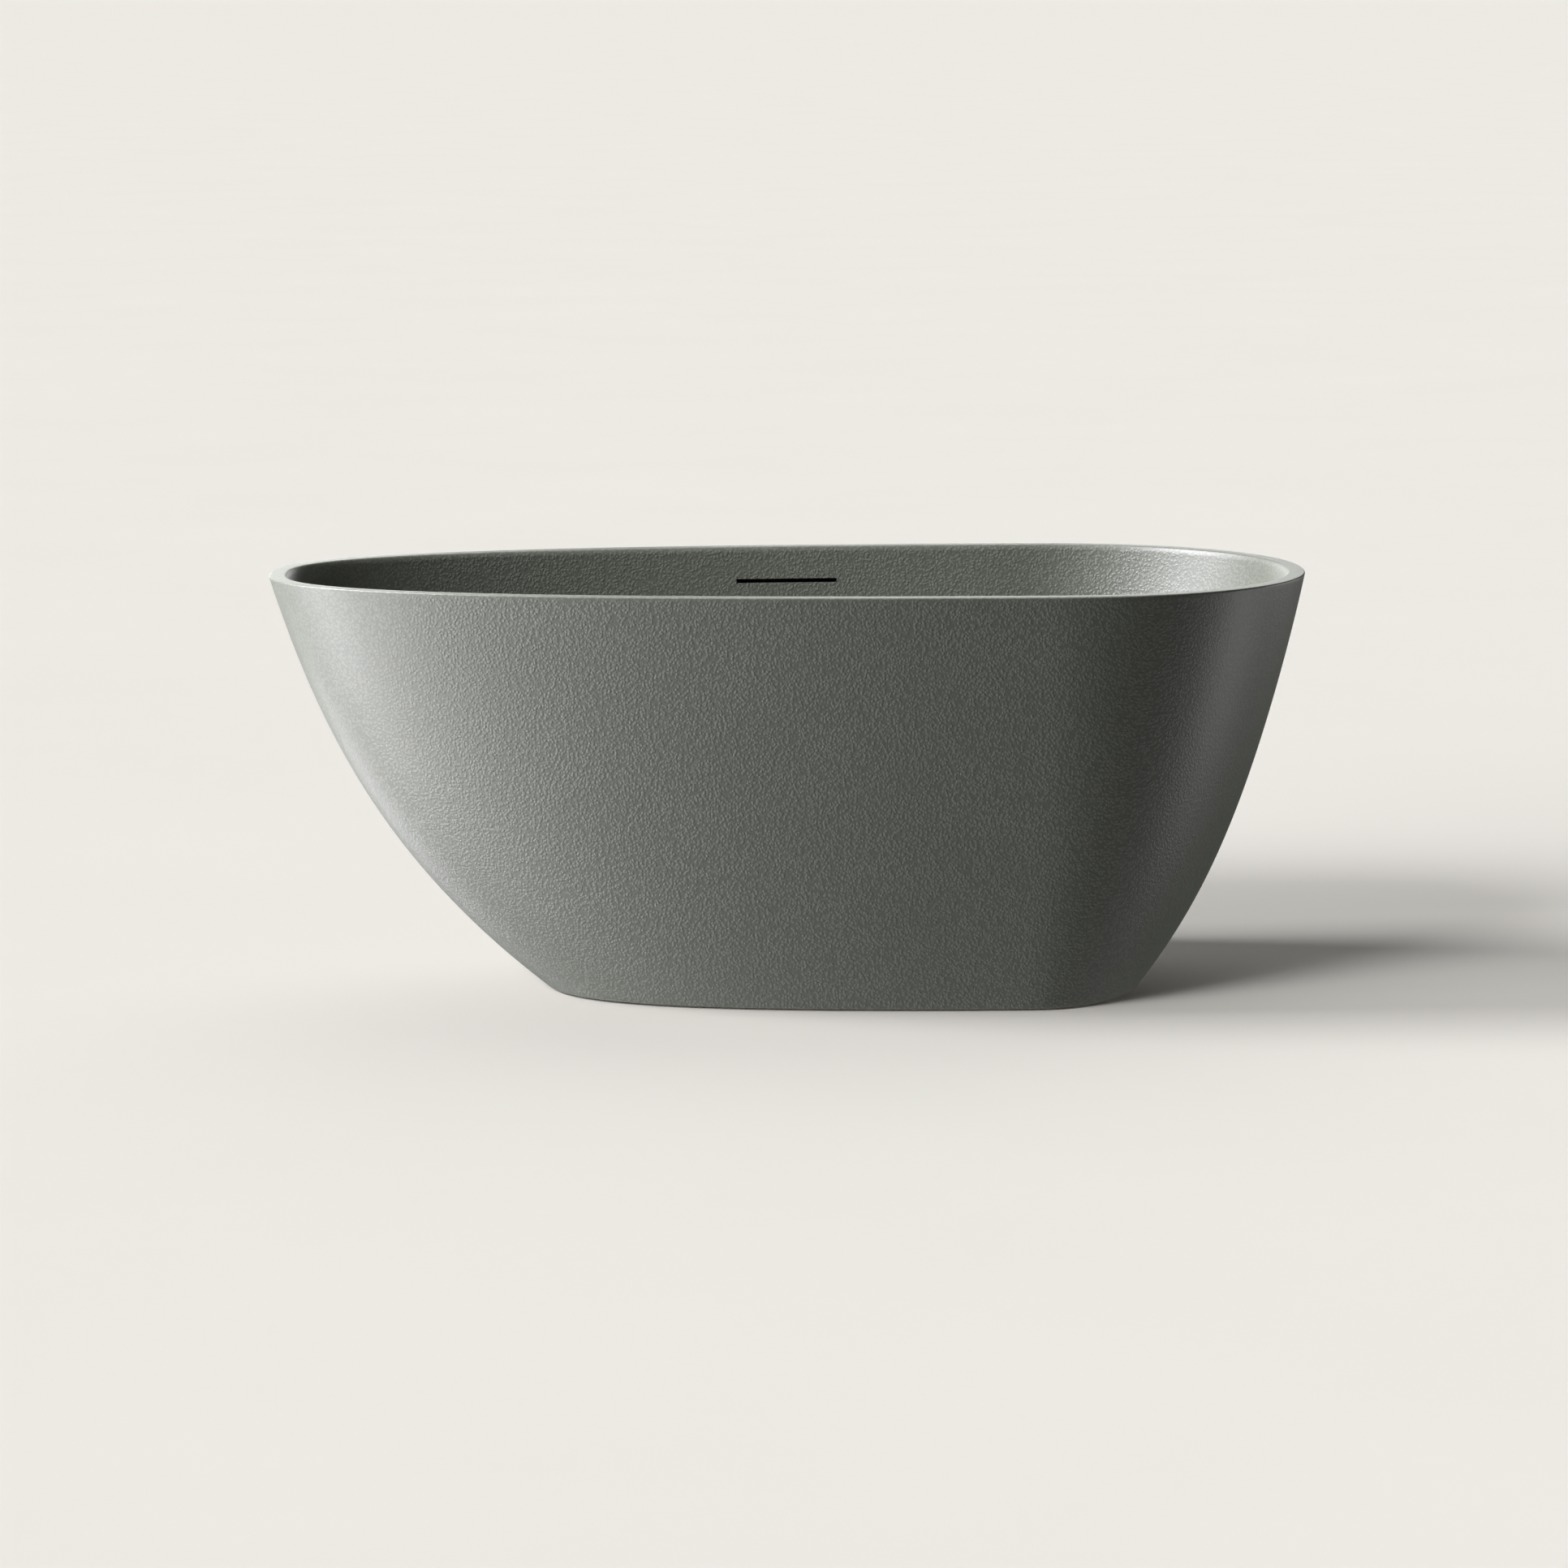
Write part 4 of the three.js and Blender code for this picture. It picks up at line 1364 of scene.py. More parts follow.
@dataclass
class Waste:
    """The drain flange, its push plug and its seals, above the low bowl trap."""

    fit: float = 0.3
    steps: int = 96
    floor: float = 120.0
    skin: float = 8.0
    recess: float = 4.0
    flange_radius: float = 36.5
    flange_thick: float = 2.2
    tail_radius: float = 22.5
    tail_bore: float = 20.0
    tail_length: float = 30.0
    flange_bevel: float = 1.0
    metal_ease: float = 0.5
    hub_radius: float = 9.5
    hub_top: float = -14.0
    hub_tall: float = 10.0
    spoke: float = 3.0
    spoke_count: int = 3
    spoke_overlap: float = 1.0
    barrel_radius: float = 7.0
    barrel_bore: float = 3.6
    collar_radius: float = 9.0
    collar_thick: float = 1.6
    barrel_length: float = 18.0
    seal_inner: float = 21.0
    seal_outer: float = 29.0
    seal_thick: float = 1.5
    seal_groove_half: float = 1.0
    seal_groove_deep: float = 0.5
    rubber_ease: float = 0.4
    seal_hole: float = 25.0
    upper_seal_tall: float = 1.2
    lower_seal_radius: float = 38.0
    lower_seal_tall: float = 3.0
    stem_radius: float = 3.3
    stem_head: float = 12.0
    stem_head_tall: float = 2.0
    stem_head_edge: float = 1.5
    stem_length: float = 36.0
    stem_plain: float = 2.0
    stem_groove: float = 0.5
    stem_groove_step: float = 0.8
    stem_groove_rows: int = 12
    cap_radius: float = 33.0
    cap_thick: float = 4.0
    cap_crown: float = 0.4
    cap_crown_radius: float = 30.0
    cap_bevel: float = 0.8
    cap_shoulder: float = 1.6
    cap_seam: float = 0.05
    moulded_ease: float = 0.3
    stem_ease: float = 0.25

    def zero(self) -> Vector:
        """The basin floor's middle at the drain, in metres."""
        middle = centre_of("waste_flange")
        return Vector((middle.x, middle.y, self.floor * MM))

    def flange(self) -> bpy.types.Object:
        """Builds the flange: a dished plate with a tail, and a hub on three spokes.

        Returns:
            The flange.
        """
        seat = self.flange_thick
        bevel = self.flange_bevel
        body = eased(
            [
                (self.tail_bore, -self.tail_length), (self.tail_radius, -self.tail_length),
                (self.tail_radius, -seat), (self.flange_radius, -seat), (self.flange_radius, -seat / 2),
                (self.flange_radius - bevel, 0), (self.seal_outer + bevel, 0), (self.tail_bore, -seat),
            ],
            self.metal_ease,
        )
        bore, foot, top = self.barrel_radius + self.fit, self.hub_top - self.hub_tall, self.hub_top
        ring = eased(tube(bore, self.hub_radius, foot, top), self.metal_ease)
        piece = Shape().turn(body, self.steps).make("drain_flange", self.zero())
        tools = [Shape().turn(ring, self.steps).make("hub", self.zero())]
        half = self.spoke / 2
        start, end = self.hub_radius - self.spoke_overlap, self.tail_bore + self.spoke_overlap
        for i in range(self.spoke_count):
            arm = Shape().box((start, -half, foot), (end, half, top))
            arm.moved(Matrix.Rotation(i * FULL_TURN / self.spoke_count, 4, "Z"))
            tools.append(arm.make("spoke", self.zero()))
        combined(piece, tools, "UNION")
        return settle(piece, Body.BATH.value, Slot.STEEL, ["waste_flange"], [STEEL])

    def plug(self) -> None:
        """Builds the plug: gelcoat cap, rubber seal, steel stem, and the barrel that guides it."""
        self.plug_cap()
        self.plug_seal()
        self.plug_stem()
        self.plug_barrel()

    def plug_cap(self) -> None:
        """Builds the cap: flat underneath, with a rounded shoulder and a crown that sheds water."""
        low = self.fit + self.seal_thick + self.fit
        wide, top = self.cap_radius, low + self.cap_thick
        bevel, rounding = self.cap_bevel, self.cap_shoulder
        corners = [(0.0, low), (wide - bevel, low), (wide, low + bevel), (wide, top - self.cap_seam)]
        # The last corner's points give way to the shoulder
        edge = eased(corners, self.moulded_ease)[: -EASE_STEPS - 1]
        shoulder = [
            (wide - rounding * (1 - math.cos(t)), top - rounding * (1 - math.sin(t)))
            for t in np.linspace(0, math.pi / 2, 8)
        ]
        radii = np.linspace(self.cap_crown_radius, 0, 14)
        crown = [(r, top + self.cap_crown * (1 - (r / wide) ** 2)) for r in radii]
        cap = Shape().turn([*edge, *shoulder, *crown], self.steps, looped=False)
        piece = cap.make("plug_cap_moulding", self.zero())
        settle(piece, Body.PLUG.value, Slot.STONE, ["plug_cap"], [CAP_GELCOAT])

    def plug_seal(self) -> None:
        """Builds the seal ring under the cap, with a groove round its underside."""
        low, high = self.fit, self.fit + self.seal_thick
        middle, half = (self.seal_outer + self.seal_inner) / 2, self.seal_groove_half
        corners = [
            (self.seal_inner, low), (middle - half, low), (middle, low + self.seal_groove_deep),
            (middle + half, low), (self.seal_outer, low), (self.seal_outer, high), (self.seal_inner, high),
        ]
        ring = Shape().turn(eased(corners, self.rubber_ease), self.steps)
        piece = ring.make("plug_seal_ring", self.zero())
        settle(piece, Body.PLUG.value, Slot.RUBBER, ["plug_seal"], [NITRILE])

    def plug_stem(self) -> None:
        """Builds the stem: a turned rod, grooved near its foot, with a thin head under the cap."""
        radius, wide = self.stem_radius, self.stem_head
        head = self.fit + self.seal_thick
        foot = head - self.stem_length
        corners = [(0.0, foot), (radius, foot)]
        for i in range(self.stem_groove_rows):
            cut = self.stem_groove if i % 2 else 0.0
            corners.append((radius - cut, foot + self.stem_plain + self.stem_groove_step * i))
        corners += [
            (radius, head - self.stem_head_tall), (wide, head - self.stem_head_edge),
            (wide, head), (0.0, head),
        ]
        rod = Shape().turn(eased(corners, self.stem_ease, 2), self.steps // 2, looped=False)
        piece = rod.make("plug_stem_turned", self.zero())
        settle(piece, Body.PLUG.value, Slot.STEEL, ["plug_stem"], [STEEL])

    def plug_barrel(self) -> None:
        """Builds the barrel that guides the stem, with a collar that rests on the flange's hub."""
        bore, radius, collar = self.barrel_bore, self.barrel_radius, self.collar_radius
        low = self.hub_top + self.fit
        top = low + self.collar_thick
        foot = top - self.barrel_length
        corners = [(bore, foot), (radius, foot), (radius, low), (collar, low), (collar, top), (bore, top)]
        guide = Shape().turn(eased(corners, self.moulded_ease), self.steps // 2)
        piece = guide.make("plug_barrel_guide", self.zero())
        settle(piece, Body.BATH.value, Slot.PLASTIC, ["plug_barrel"], [POLYPROPYLENE])

    def seals(self) -> None:
        """Builds the seals above and below the basin's floor."""
        upper, lower = self.fit - self.recess, -self.skin - self.fit - self.lower_seal_tall
        for node, outer, low, tall in (
            ("flange_seal", self.flange_radius, upper, self.upper_seal_tall),
            ("under_basin_seal", self.lower_seal_radius, lower, self.lower_seal_tall),
        ):
            ring = eased(tube(self.seal_hole, outer, low, low + tall), self.rubber_ease)
            piece = Shape().turn(ring, self.steps).make(f"{node}_ring", self.zero())
            settle(piece, Body.BATH.value, Slot.RUBBER, [node], [NITRILE])


@dataclass
class Trap:
    """The bowl trap: ribbed cup, outlet with its compression nut, and the overflow's side port."""

    steps: int = 120
    radius: float = 44.0
    wall: float = 2.5
    bottom: float = 8.0
    shoulder: float = 80.0
    neck: float = 27.0
    neck_bore: float = 23.2
    flange_radius: float = 38.0
    flange_thick: float = 4.0
    top: float = 108.4
    ledge: float = 85.4
    ledge_radius: float = 20.2
    ledge_thick: float = 3.0
    rib_count: int = 36
    rib_depth: float = 1.1
    rib_top: float = 34.0
    outlet_height: float = 49.0
    outlet_radius: float = 20.0
    outlet_bore: float = 17.5
    outlet_end: float = 76.0
    port_height: float = 62.0
    port_radius: float = 9.0
    port_bore: float = 7.0
    port_end: float = 66.0
    nut_radius: float = 27.0
    nut_length: float = 24.0
    nut_lip: float = 4.0
    nut_bevel: float = 3.0
    nut_grips: int = 12
    nut_grip_depth: float = 2.0
    nut_ease: float = 0.6
    nut_steps: int = 240
    cup_round: float = 6.0
    cup_taper: float = 10.0
    joint_depth: float = 1.4
    pipe_steps: int = 64
    fit: float = 0.3

    def zero(self) -> Vector:
        """The floor under the drain, in metres."""
        middle = centre_of("waste_flange")
        return Vector((middle.x, middle.y, 0.0))

    def pipe(self, radius: float, reach: float, height: float, turn: float, start: float) -> bpy.types.Object:
        """A level bar from near the trap's axis out to a reach, turned about the axis.

        Args:
            radius: The bar's radius.
            reach: Where it ends, from the axis.
            height: Its height above the floor.
            turn: How far it is turned about the axis from +X, in radians.
            start: Where it starts, from the axis.

        Returns:
            The bar.
        """
        bar = Shape().loft([circle(radius, end, self.pipe_steps) for end in (start, reach)], caps=True)
        bar.moved(Matrix.Rotation(math.pi / 2, 4, "Y"))
        bar.moved(Matrix.Rotation(turn, 4, "Z"))
        bar.moved(Matrix.Translation((0, 0, height)))
        return bar.make("pipe", self.zero())

    def bowl(self) -> bpy.types.Object:
        """Builds the trap's bowl with grip ribs round its cup and a bead at the cup's joint.

        Returns:
            The bowl.
        """
        wide, inner, bottom = self.radius, self.radius - self.wall, self.bottom
        cup_low, cup_high = bottom + self.cup_round, self.shoulder - self.cup_taper
        joint, seat = wide - self.joint_depth, self.top - self.flange_thick
        outside = [(0.0, bottom), (wide - self.cup_round, bottom), (wide - 2, bottom + 1.5), (wide, cup_low)]
        outside += [(wide, z) for z in np.linspace(bottom + 9, self.rib_top, 8)]
        outside += [
            (wide, self.rib_top + 3), (joint, self.rib_top + 4), (joint, self.rib_top + 5.4),
            (wide, self.rib_top + 6.4), (wide, self.shoulder - 8), (wide - 1.8, self.shoulder - 4.4),
            (self.neck, self.ledge + 1), (self.neck, seat - 1.5), (self.neck + 1.5, seat),
            (self.flange_radius, seat), (self.flange_radius, self.top), (self.neck_bore, self.top),
        ]
        inside = [
            (self.neck_bore, self.ledge), (self.ledge_radius, self.ledge),
            (self.ledge_radius, self.ledge - self.ledge_thick), (inner, cup_high), (inner, cup_low),
            (inner - 4, bottom + self.wall), (0.0, bottom + self.wall),
        ]
        angles = np.linspace(0, FULL_TURN, self.steps * 3, endpoint=False)
        rings = []
        for radius, z in [*outside, *inside]:
            ring = circle(radius, z, self.steps * 3)
            if radius == wide and bottom + 8 < z < self.rib_top + 0.1:
                groove = self.rib_depth * np.clip(0.5 + 1.5 * np.cos(self.rib_count * angles), 0, 1)
                ring[:, :2] *= ((wide - groove) / wide)[:, None]
            rings.append(ring)
        piece = Shape().loft(rings).make("trap_bowl_moulding", self.zero())
        start = self.radius / 2
        combined(piece, [
            self.pipe(self.outlet_radius, self.outlet_end, self.outlet_height, 0.0, start),
            self.pipe(self.port_radius, self.port_end, self.port_height, math.pi / 2, start),
        ], "UNION")
        hollow = Shape().loft([circle(inner, z, self.steps) for z in (cup_low, cup_high)], caps=True)
        combined(piece, [
            hollow.make("hollow", self.zero()),
            self.pipe(self.outlet_bore, self.outlet_end + 1, self.outlet_height, 0.0, start),
            self.pipe(self.port_bore, self.port_end + 1, self.port_height, math.pi / 2, start),
        ], "DIFFERENCE")
        return settle(piece, Body.BATH.value, Slot.PLASTIC, ["trap_bowl"], [POLYPROPYLENE])

    def nut(self) -> bpy.types.Object:
        """Builds the outlet's compression nut, with scalloped grips round it.

        Returns:
            The nut.
        """
        bore, wide = self.outlet_radius + 2 * self.fit, self.nut_radius
        length, bevel, step = self.nut_length, self.nut_bevel, self.nut_length - self.nut_lip
        profile = eased(
            [
                (bore, 0.0), (wide, 0.0), (wide, length - bevel), (wide - bevel, length),
                (self.outlet_bore, length), (self.outlet_bore, step), (bore, step),
            ],
            self.nut_ease,
        )
        angles = np.linspace(0, FULL_TURN, self.nut_steps, endpoint=False)
        scallop = self.nut_grip_depth * np.clip(0.2 + np.cos(self.nut_grips * angles), 0, 1)
        rings = []
        for radius, z in profile:
            ring = circle(radius, z, self.nut_steps)
            if radius > wide - self.nut_grip_depth:
                ring[:, :2] *= ((radius - scallop) / radius)[:, None]
            rings.append(ring)
        low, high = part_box("outlet_nut")
        at = Vector((low.x, (low.y + high.y) / 2, (low.z + high.z) / 2))
        shape = Shape().loft(rings, looped=True).moved(Matrix.Rotation(math.pi / 2, 4, "Y"))
        piece = shape.make("outlet_grip_nut", at)
        return settle(piece, Body.BATH.value, Slot.PLASTIC, ["outlet_nut"], [POLYPROPYLENE])


# ---- Overflow ----


@dataclass
class Overflow:
    """The overflow's corrugated hose and its two worm-drive clamps."""

    form: BathForm = field(default_factory=BathForm)
    fit: float = 0.3
    shell_skin: float = 6.0
    clear: float = 5.0
    bore: float = 10.2
    radius: float = 12.6
    groove: float = 1.3
    pitch: float = 4.2
    cuff: float = 24.0
    spigot_length: float = 20.0
    port_height: float = 62.0
    port_reach: float = 66.0
    clamp_wide: float = 9.0
    clamp_thick: float = 1.0
    ring_steps: int = 40
    inner_share: float = 0.3
    band_steps: int = 96
    notch_wide: float = 0.9
    notch_tall: float = 5.2
    notch_sunk: float = 0.15
    notch_proud: float = 0.22
    notch_count: int = 26
    notch_first: float = 60.0
    notch_step: float = 9.5
    housing_half: float = 5.5
    screw_sides: int = 6

    def hose_y(self, x: float, z: float) -> float:
        """Where the hose's middle lies at a height, clear of the shell's inside.

        Args:
            x: Where along the bath.
            z: The height.

        Returns:
            The hose's place across the bath.
        """
        ring = self.form.ring(z, self.shell_skin)
        back = ring[ring[:, 1] > 0]
        order = np.argsort(back[:, 0])
        return float(np.interp(x, back[order, 0], back[order, 1])) - self.clear - self.radius

    def route(self) -> np.ndarray:
        """The hose's middle line, from the chamber's spigot to the trap's side port.

        Returns:
            The points, one to a row.
        """
        low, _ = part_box("overflow_chamber")
        x = centre_of("overflow_chamber").x / MM
        top = low.z / MM + self.spigot_length
        y = self.hose_y(x, top)
        straight = top - self.fit - self.spigot_length - self.clamp_wide
        turn_height = self.port_height + 80
        points = [(x, y, top - self.fit), (x, y, straight)]
        points += [(x, self.hose_y(x, z), z) for z in np.linspace(straight, turn_height, 5)[1:]]
        turn_y = self.hose_y(x, turn_height)
        points += [
            (x, turn_y - 26, self.port_height + 22),
            (x, turn_y - 75, self.port_height),
            (x, self.port_reach + self.clamp_wide + 12, self.port_height),
            (x, self.port_reach - self.spigot_length + 2 * self.fit, self.port_height),
        ]
        return smooth_route(np.array(points), 0.7)

    def hose(self) -> bpy.types.Object:
        """Builds the hose: plain cuffs at its ends and rings between them, hollow throughout.

        Returns:
            The hose.
        """
        route = self.route()
        lengths = np.concatenate([[0], np.cumsum(np.linalg.norm(np.diff(route, axis=0), axis=1))])
        total = lengths[-1]
        frames = along_route(route)
        outer, inner = [], []
        for point, length, (side, up) in zip(route, lengths, frames):
            inside = self.cuff < length < total - self.cuff
            wave = 0.5 - 0.5 * math.cos(FULL_TURN * (length - self.cuff) / self.pitch) if inside else 0.0
            dip = self.groove * wave**0.7
            outer.append(ring_round(point, side, up, self.radius - dip, self.ring_steps))
            inner.append(ring_round(point, side, up, self.bore - self.inner_share * dip, self.ring_steps))
        shape = Shape().loft([*outer, *inner[::-1]], looped=True)
        piece = shape.make("overflow_corrugated_hose", Vector((0, 0, 0)), sharp=60.0)
        return settle(piece, Body.BATH.value, Slot.PLASTIC, ["overflow_hose"], [POLYETHYLENE])

    def clamp(self, node: str, level: bool) -> bpy.types.Object:
        """Builds a worm-drive clamp.

        Args:
            node: The CAD node that it stands for.
            level: True if the hose runs along Y there, False if it runs up.

        Returns:
            The clamp: a slotted band, its housing and its screw.
        """
        half = self.clamp_wide / 2
        inner = self.radius + 2 * self.fit
        outer = inner + self.clamp_thick
        shape = Shape().turn(eased(tube(inner, outer, -half, half), 0.2, 2), self.band_steps)
        low = (outer - self.notch_sunk, -self.notch_wide / 2, -self.notch_tall / 2)
        high = (outer + self.notch_proud, self.notch_wide / 2, self.notch_tall / 2)
        for i in range(self.notch_count):
            angle = math.radians(self.notch_first + i * self.notch_step)
            shape.add(Shape().box(low, high).moved(Matrix.Rotation(angle, 4, "Z")))
        shape.add(self.housing(outer))
        turn = Matrix.Rotation(math.pi / 2, 4, "X") if level else Matrix.Identity(4)
        shape.moved(turn)
        piece = shape.make(node + "_worm_drive", centre_of(node))
        return settle(piece, Body.BATH.value, Slot.STEEL, [node], [STRIP])

    def housing(self, outer: float) -> Shape:
        """The clamp's pressed housing and the hex head of its screw, lying along the band.

        Args:
            outer: The band's outer radius.

        Returns:
            The housing and the screw.
        """
        right = [(4.6, 0.1), (4.4, 2.0), (3.4, 3.4), (1.6, 4.2)]
        left = [(-across, rise) for across, rise in reversed(right)]
        outline = np.array([left[-1], *right, *left[:-1]])
        out, up = outer - 0.6 + outline[:, 1], outline[:, 0] * 0.95
        ends = (self.housing_half, -self.housing_half)
        arch = Shape().loft([np.column_stack([out, np.full(len(out), y), up]) for y in ends], caps=True)
        screw = eased([(0.0, 5.2), (2.2, 5.2), (2.2, 6.2), (3.0, 6.2), (3.0, 9.4), (0.0, 9.4)], 0.3, 2)
        head = Shape().loft([circle(radius, height, self.screw_sides) for radius, height in screw])
        head.moved(Matrix.Translation((outer + 1.6, 0, 0)) @ Matrix.Rotation(-math.pi / 2, 4, "X"))
        return arch.add(head)


def smooth_route(points: np.ndarray, step: float) -> np.ndarray:
    """A centripetal curve through points, sampled at an even step.

    Args:
        points: The points that the curve goes through.
        step: The distance between samples.

    Returns:
        The samples in order.
    """
    ends = [2 * points[0] - points[1], *points, 2 * points[-1] - points[-2]]
    fine: list[np.ndarray] = []
    for i in range(1, len(ends) - 2):
        p0, p1, p2, p3 = ends[i - 1 : i + 3]
        t1 = max(np.linalg.norm(p1 - p0), 1e-6) ** 0.5
        t2 = t1 + max(np.linalg.norm(p2 - p1), 1e-6) ** 0.5
        t3 = t2 + max(np.linalg.norm(p3 - p2), 1e-6) ** 0.5
        for t in np.linspace(t1, t2, 60, endpoint=False):
            a1 = (t1 - t) / t1 * p0 + t / t1 * p1
            a2 = (t2 - t) / (t2 - t1) * p1 + (t - t1) / (t2 - t1) * p2
            a3 = (t3 - t) / (t3 - t2) * p2 + (t - t2) / (t3 - t2) * p3
            b1 = (t2 - t) / t2 * a1 + t / t2 * a2
            b2 = (t3 - t) / (t3 - t1) * a2 + (t - t1) / (t3 - t1) * a3
            fine.append((t2 - t) / (t2 - t1) * b1 + (t - t1) / (t2 - t1) * b2)
    fine.append(np.array(ends[-2], float))
    line = np.array(fine)
    lengths = np.concatenate([[0], np.cumsum(np.linalg.norm(np.diff(line, axis=0), axis=1))])
    even = np.linspace(0, lengths[-1], int(lengths[-1] / step) + 1)
    return np.column_stack([np.interp(even, lengths, line[:, k]) for k in range(3)])


def along_route(route: np.ndarray) -> list[tuple[np.ndarray, np.ndarray]]:
    """Two directions square to a route at each of its points, carried along without twisting.

    Args:
        route: The route's points.

    Returns:
        The two directions at each point.
    """
    heading = np.gradient(route, axis=0)
    heading /= np.linalg.norm(heading, axis=1)[:, None]
    side = np.cross(heading[0], [0.0, 1.0, 0.0])
    frames = []
    for direction in heading:
        side = side - (side @ direction) * direction
        side = side / np.linalg.norm(side)
        frames.append((side, np.cross(direction, side)))
    return frames


def ring_round(point: np.ndarray, side: np.ndarray, up: np.ndarray, radius: float, steps: int) -> np.ndarray:
    """A ring of points about a route's point."""
    turn = np.linspace(0, FULL_TURN, steps, endpoint=False)[:, None]
    return point + radius * (np.cos(turn) * side + np.sin(turn) * up)


# ---- Frame and feet ----


@dataclass
class BaseFrame:
    """The board and the welded tube frame that the basin stands on."""

    tube_edge: float = 0.7
    board_edge: float = 0.5
    bead: float = 2.2
    bead_ripple: float = 1.6
    bead_swell: float = 0.14
    bead_end: float = 0.35
    bead_rise: float = 4.0
    bead_row: float = 0.5
    weld_short: float = 2.0
    weld_in: float = 0.4

    def dress(self) -> None:
        """Dresses the carried board and tubes."""
        dress_node("base_board", PLYWOOD, self.board_edge)
        for node in ("frame_rail_front", "frame_rail_back", "cross_member_left", "cross_member_right"):
            dress_node(node, ZINC, self.tube_edge)

    def weld_bead(self, start: Vector, end: Vector) -> Shape:
        """A rippled fillet of weld between two points, in millimetres from the frame's zero.

        Args:
            start: Where the bead starts.
            end: Where it ends.

        Returns:
            The bead.
        """
        line = end - start
        steps = int(line.length / self.bead_row)
        heading = np.array(line.normalized())
        side, up = along_route(np.array([list(start), list(end)]))[0]
        rings = []
        for i in range(steps + 1):
            at = i / steps
            wave = abs(math.sin(math.pi * at * line.length / self.bead_ripple))
            swell = self.bead * (1 - self.bead_swell + self.bead_swell * wave)
            swell *= min(1.0, self.bead_end + self.bead_rise * min(at, 1 - at))
            rings.append(ring_round(np.array(start) + heading * line.length * at, side, up, swell, 12))
        return Shape().loft(rings, caps=True)

    def welds(self) -> None:
        """Builds the welds where the rails cross the cross members."""
        for member in ("left", "right"):
            cross_low, cross_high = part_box(f"cross_member_{member}")
            for side in ("front", "back"):
                rail_low, rail_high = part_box(f"frame_rail_{side}")
                middle = (rail_low + rail_high) / 2
                middle.x, middle.z = (cross_low.x + cross_high.x) / 2, rail_low.z
                reach = (cross_high.x - cross_low.x) / 2 / MM - self.weld_short
                half_y = (rail_high.y - rail_low.y) / 2 / MM
                shape = Shape()
                for sign in (-1, 1):
                    y = sign * (half_y + self.weld_in)
                    start, end = (Vector((x, y, self.weld_in)) for x in (-reach, reach))
                    shape.add(self.weld_bead(start, end))
                piece = shape.make(f"frame_weld_{side}_{member}", middle)
                settle(piece, Body.BATH.value, Slot.ZINC, [], [WELD])


@dataclass
class ThreadedRod:
    """A rolled metric thread."""

    radius: float = 6.0
    pitch: float = 1.75
    depth: float = 0.95
    steps: int = 32
    rows_per_turn: int = 6

    def rings(self, bottom: float, top: float, chamfer: float) -> list[np.ndarray]:
        """Rings from bottom to top whose radius follows the thread, chamfered at both ends.

        Args:
            bottom: The height of the first ring.
            top: The height of the last.
            chamfer: How far each end is cut back.

        Returns:
            The rings.
        """
        rows = int((top - bottom) / self.pitch * self.rows_per_turn)
        angle = np.linspace(0, FULL_TURN, self.steps, endpoint=False)
        rings = []
        for z in np.linspace(bottom, top, rows + 1):
            phase = (z / self.pitch - angle / FULL_TURN) % 1.0
            # Straight flanks, with a small flat at the crest and at the root
            crest = np.clip(np.abs(phase - 0.5) * 2.4 - 0.1, 0, 1)
            end = max(0.0, chamfer - min(z - bottom, top - z))
            radius = np.minimum(self.radius - self.depth * crest, self.radius - end)
            x, y = radius * np.cos(angle), radius * np.sin(angle)
            rings.append(np.column_stack([x, y, np.full(self.steps, z)]))
        return rings


def hex_rings(profile: Profile, across: float, steps: int = 96) -> list[np.ndarray]:
    """Rings of a turned profile cut down to a hexagon, which gives a nut's chamfered corners.

    Args:
        profile: The turned profile as (radius, height).
        across: The distance across the flats.
        steps: Points round each ring.

    Returns:
        The rings.
    """
    angle = np.linspace(0, FULL_TURN, steps, endpoint=False)
    limit = across / 2 / np.cos((angle % (FULL_TURN / 6)) - FULL_TURN / 12)
    rings = []
    for radius, z in profile:
        cut = np.minimum(radius, limit)
        rings.append(np.column_stack([cut * np.cos(angle), cut * np.sin(angle), np.full(steps, z)]))
    return rings


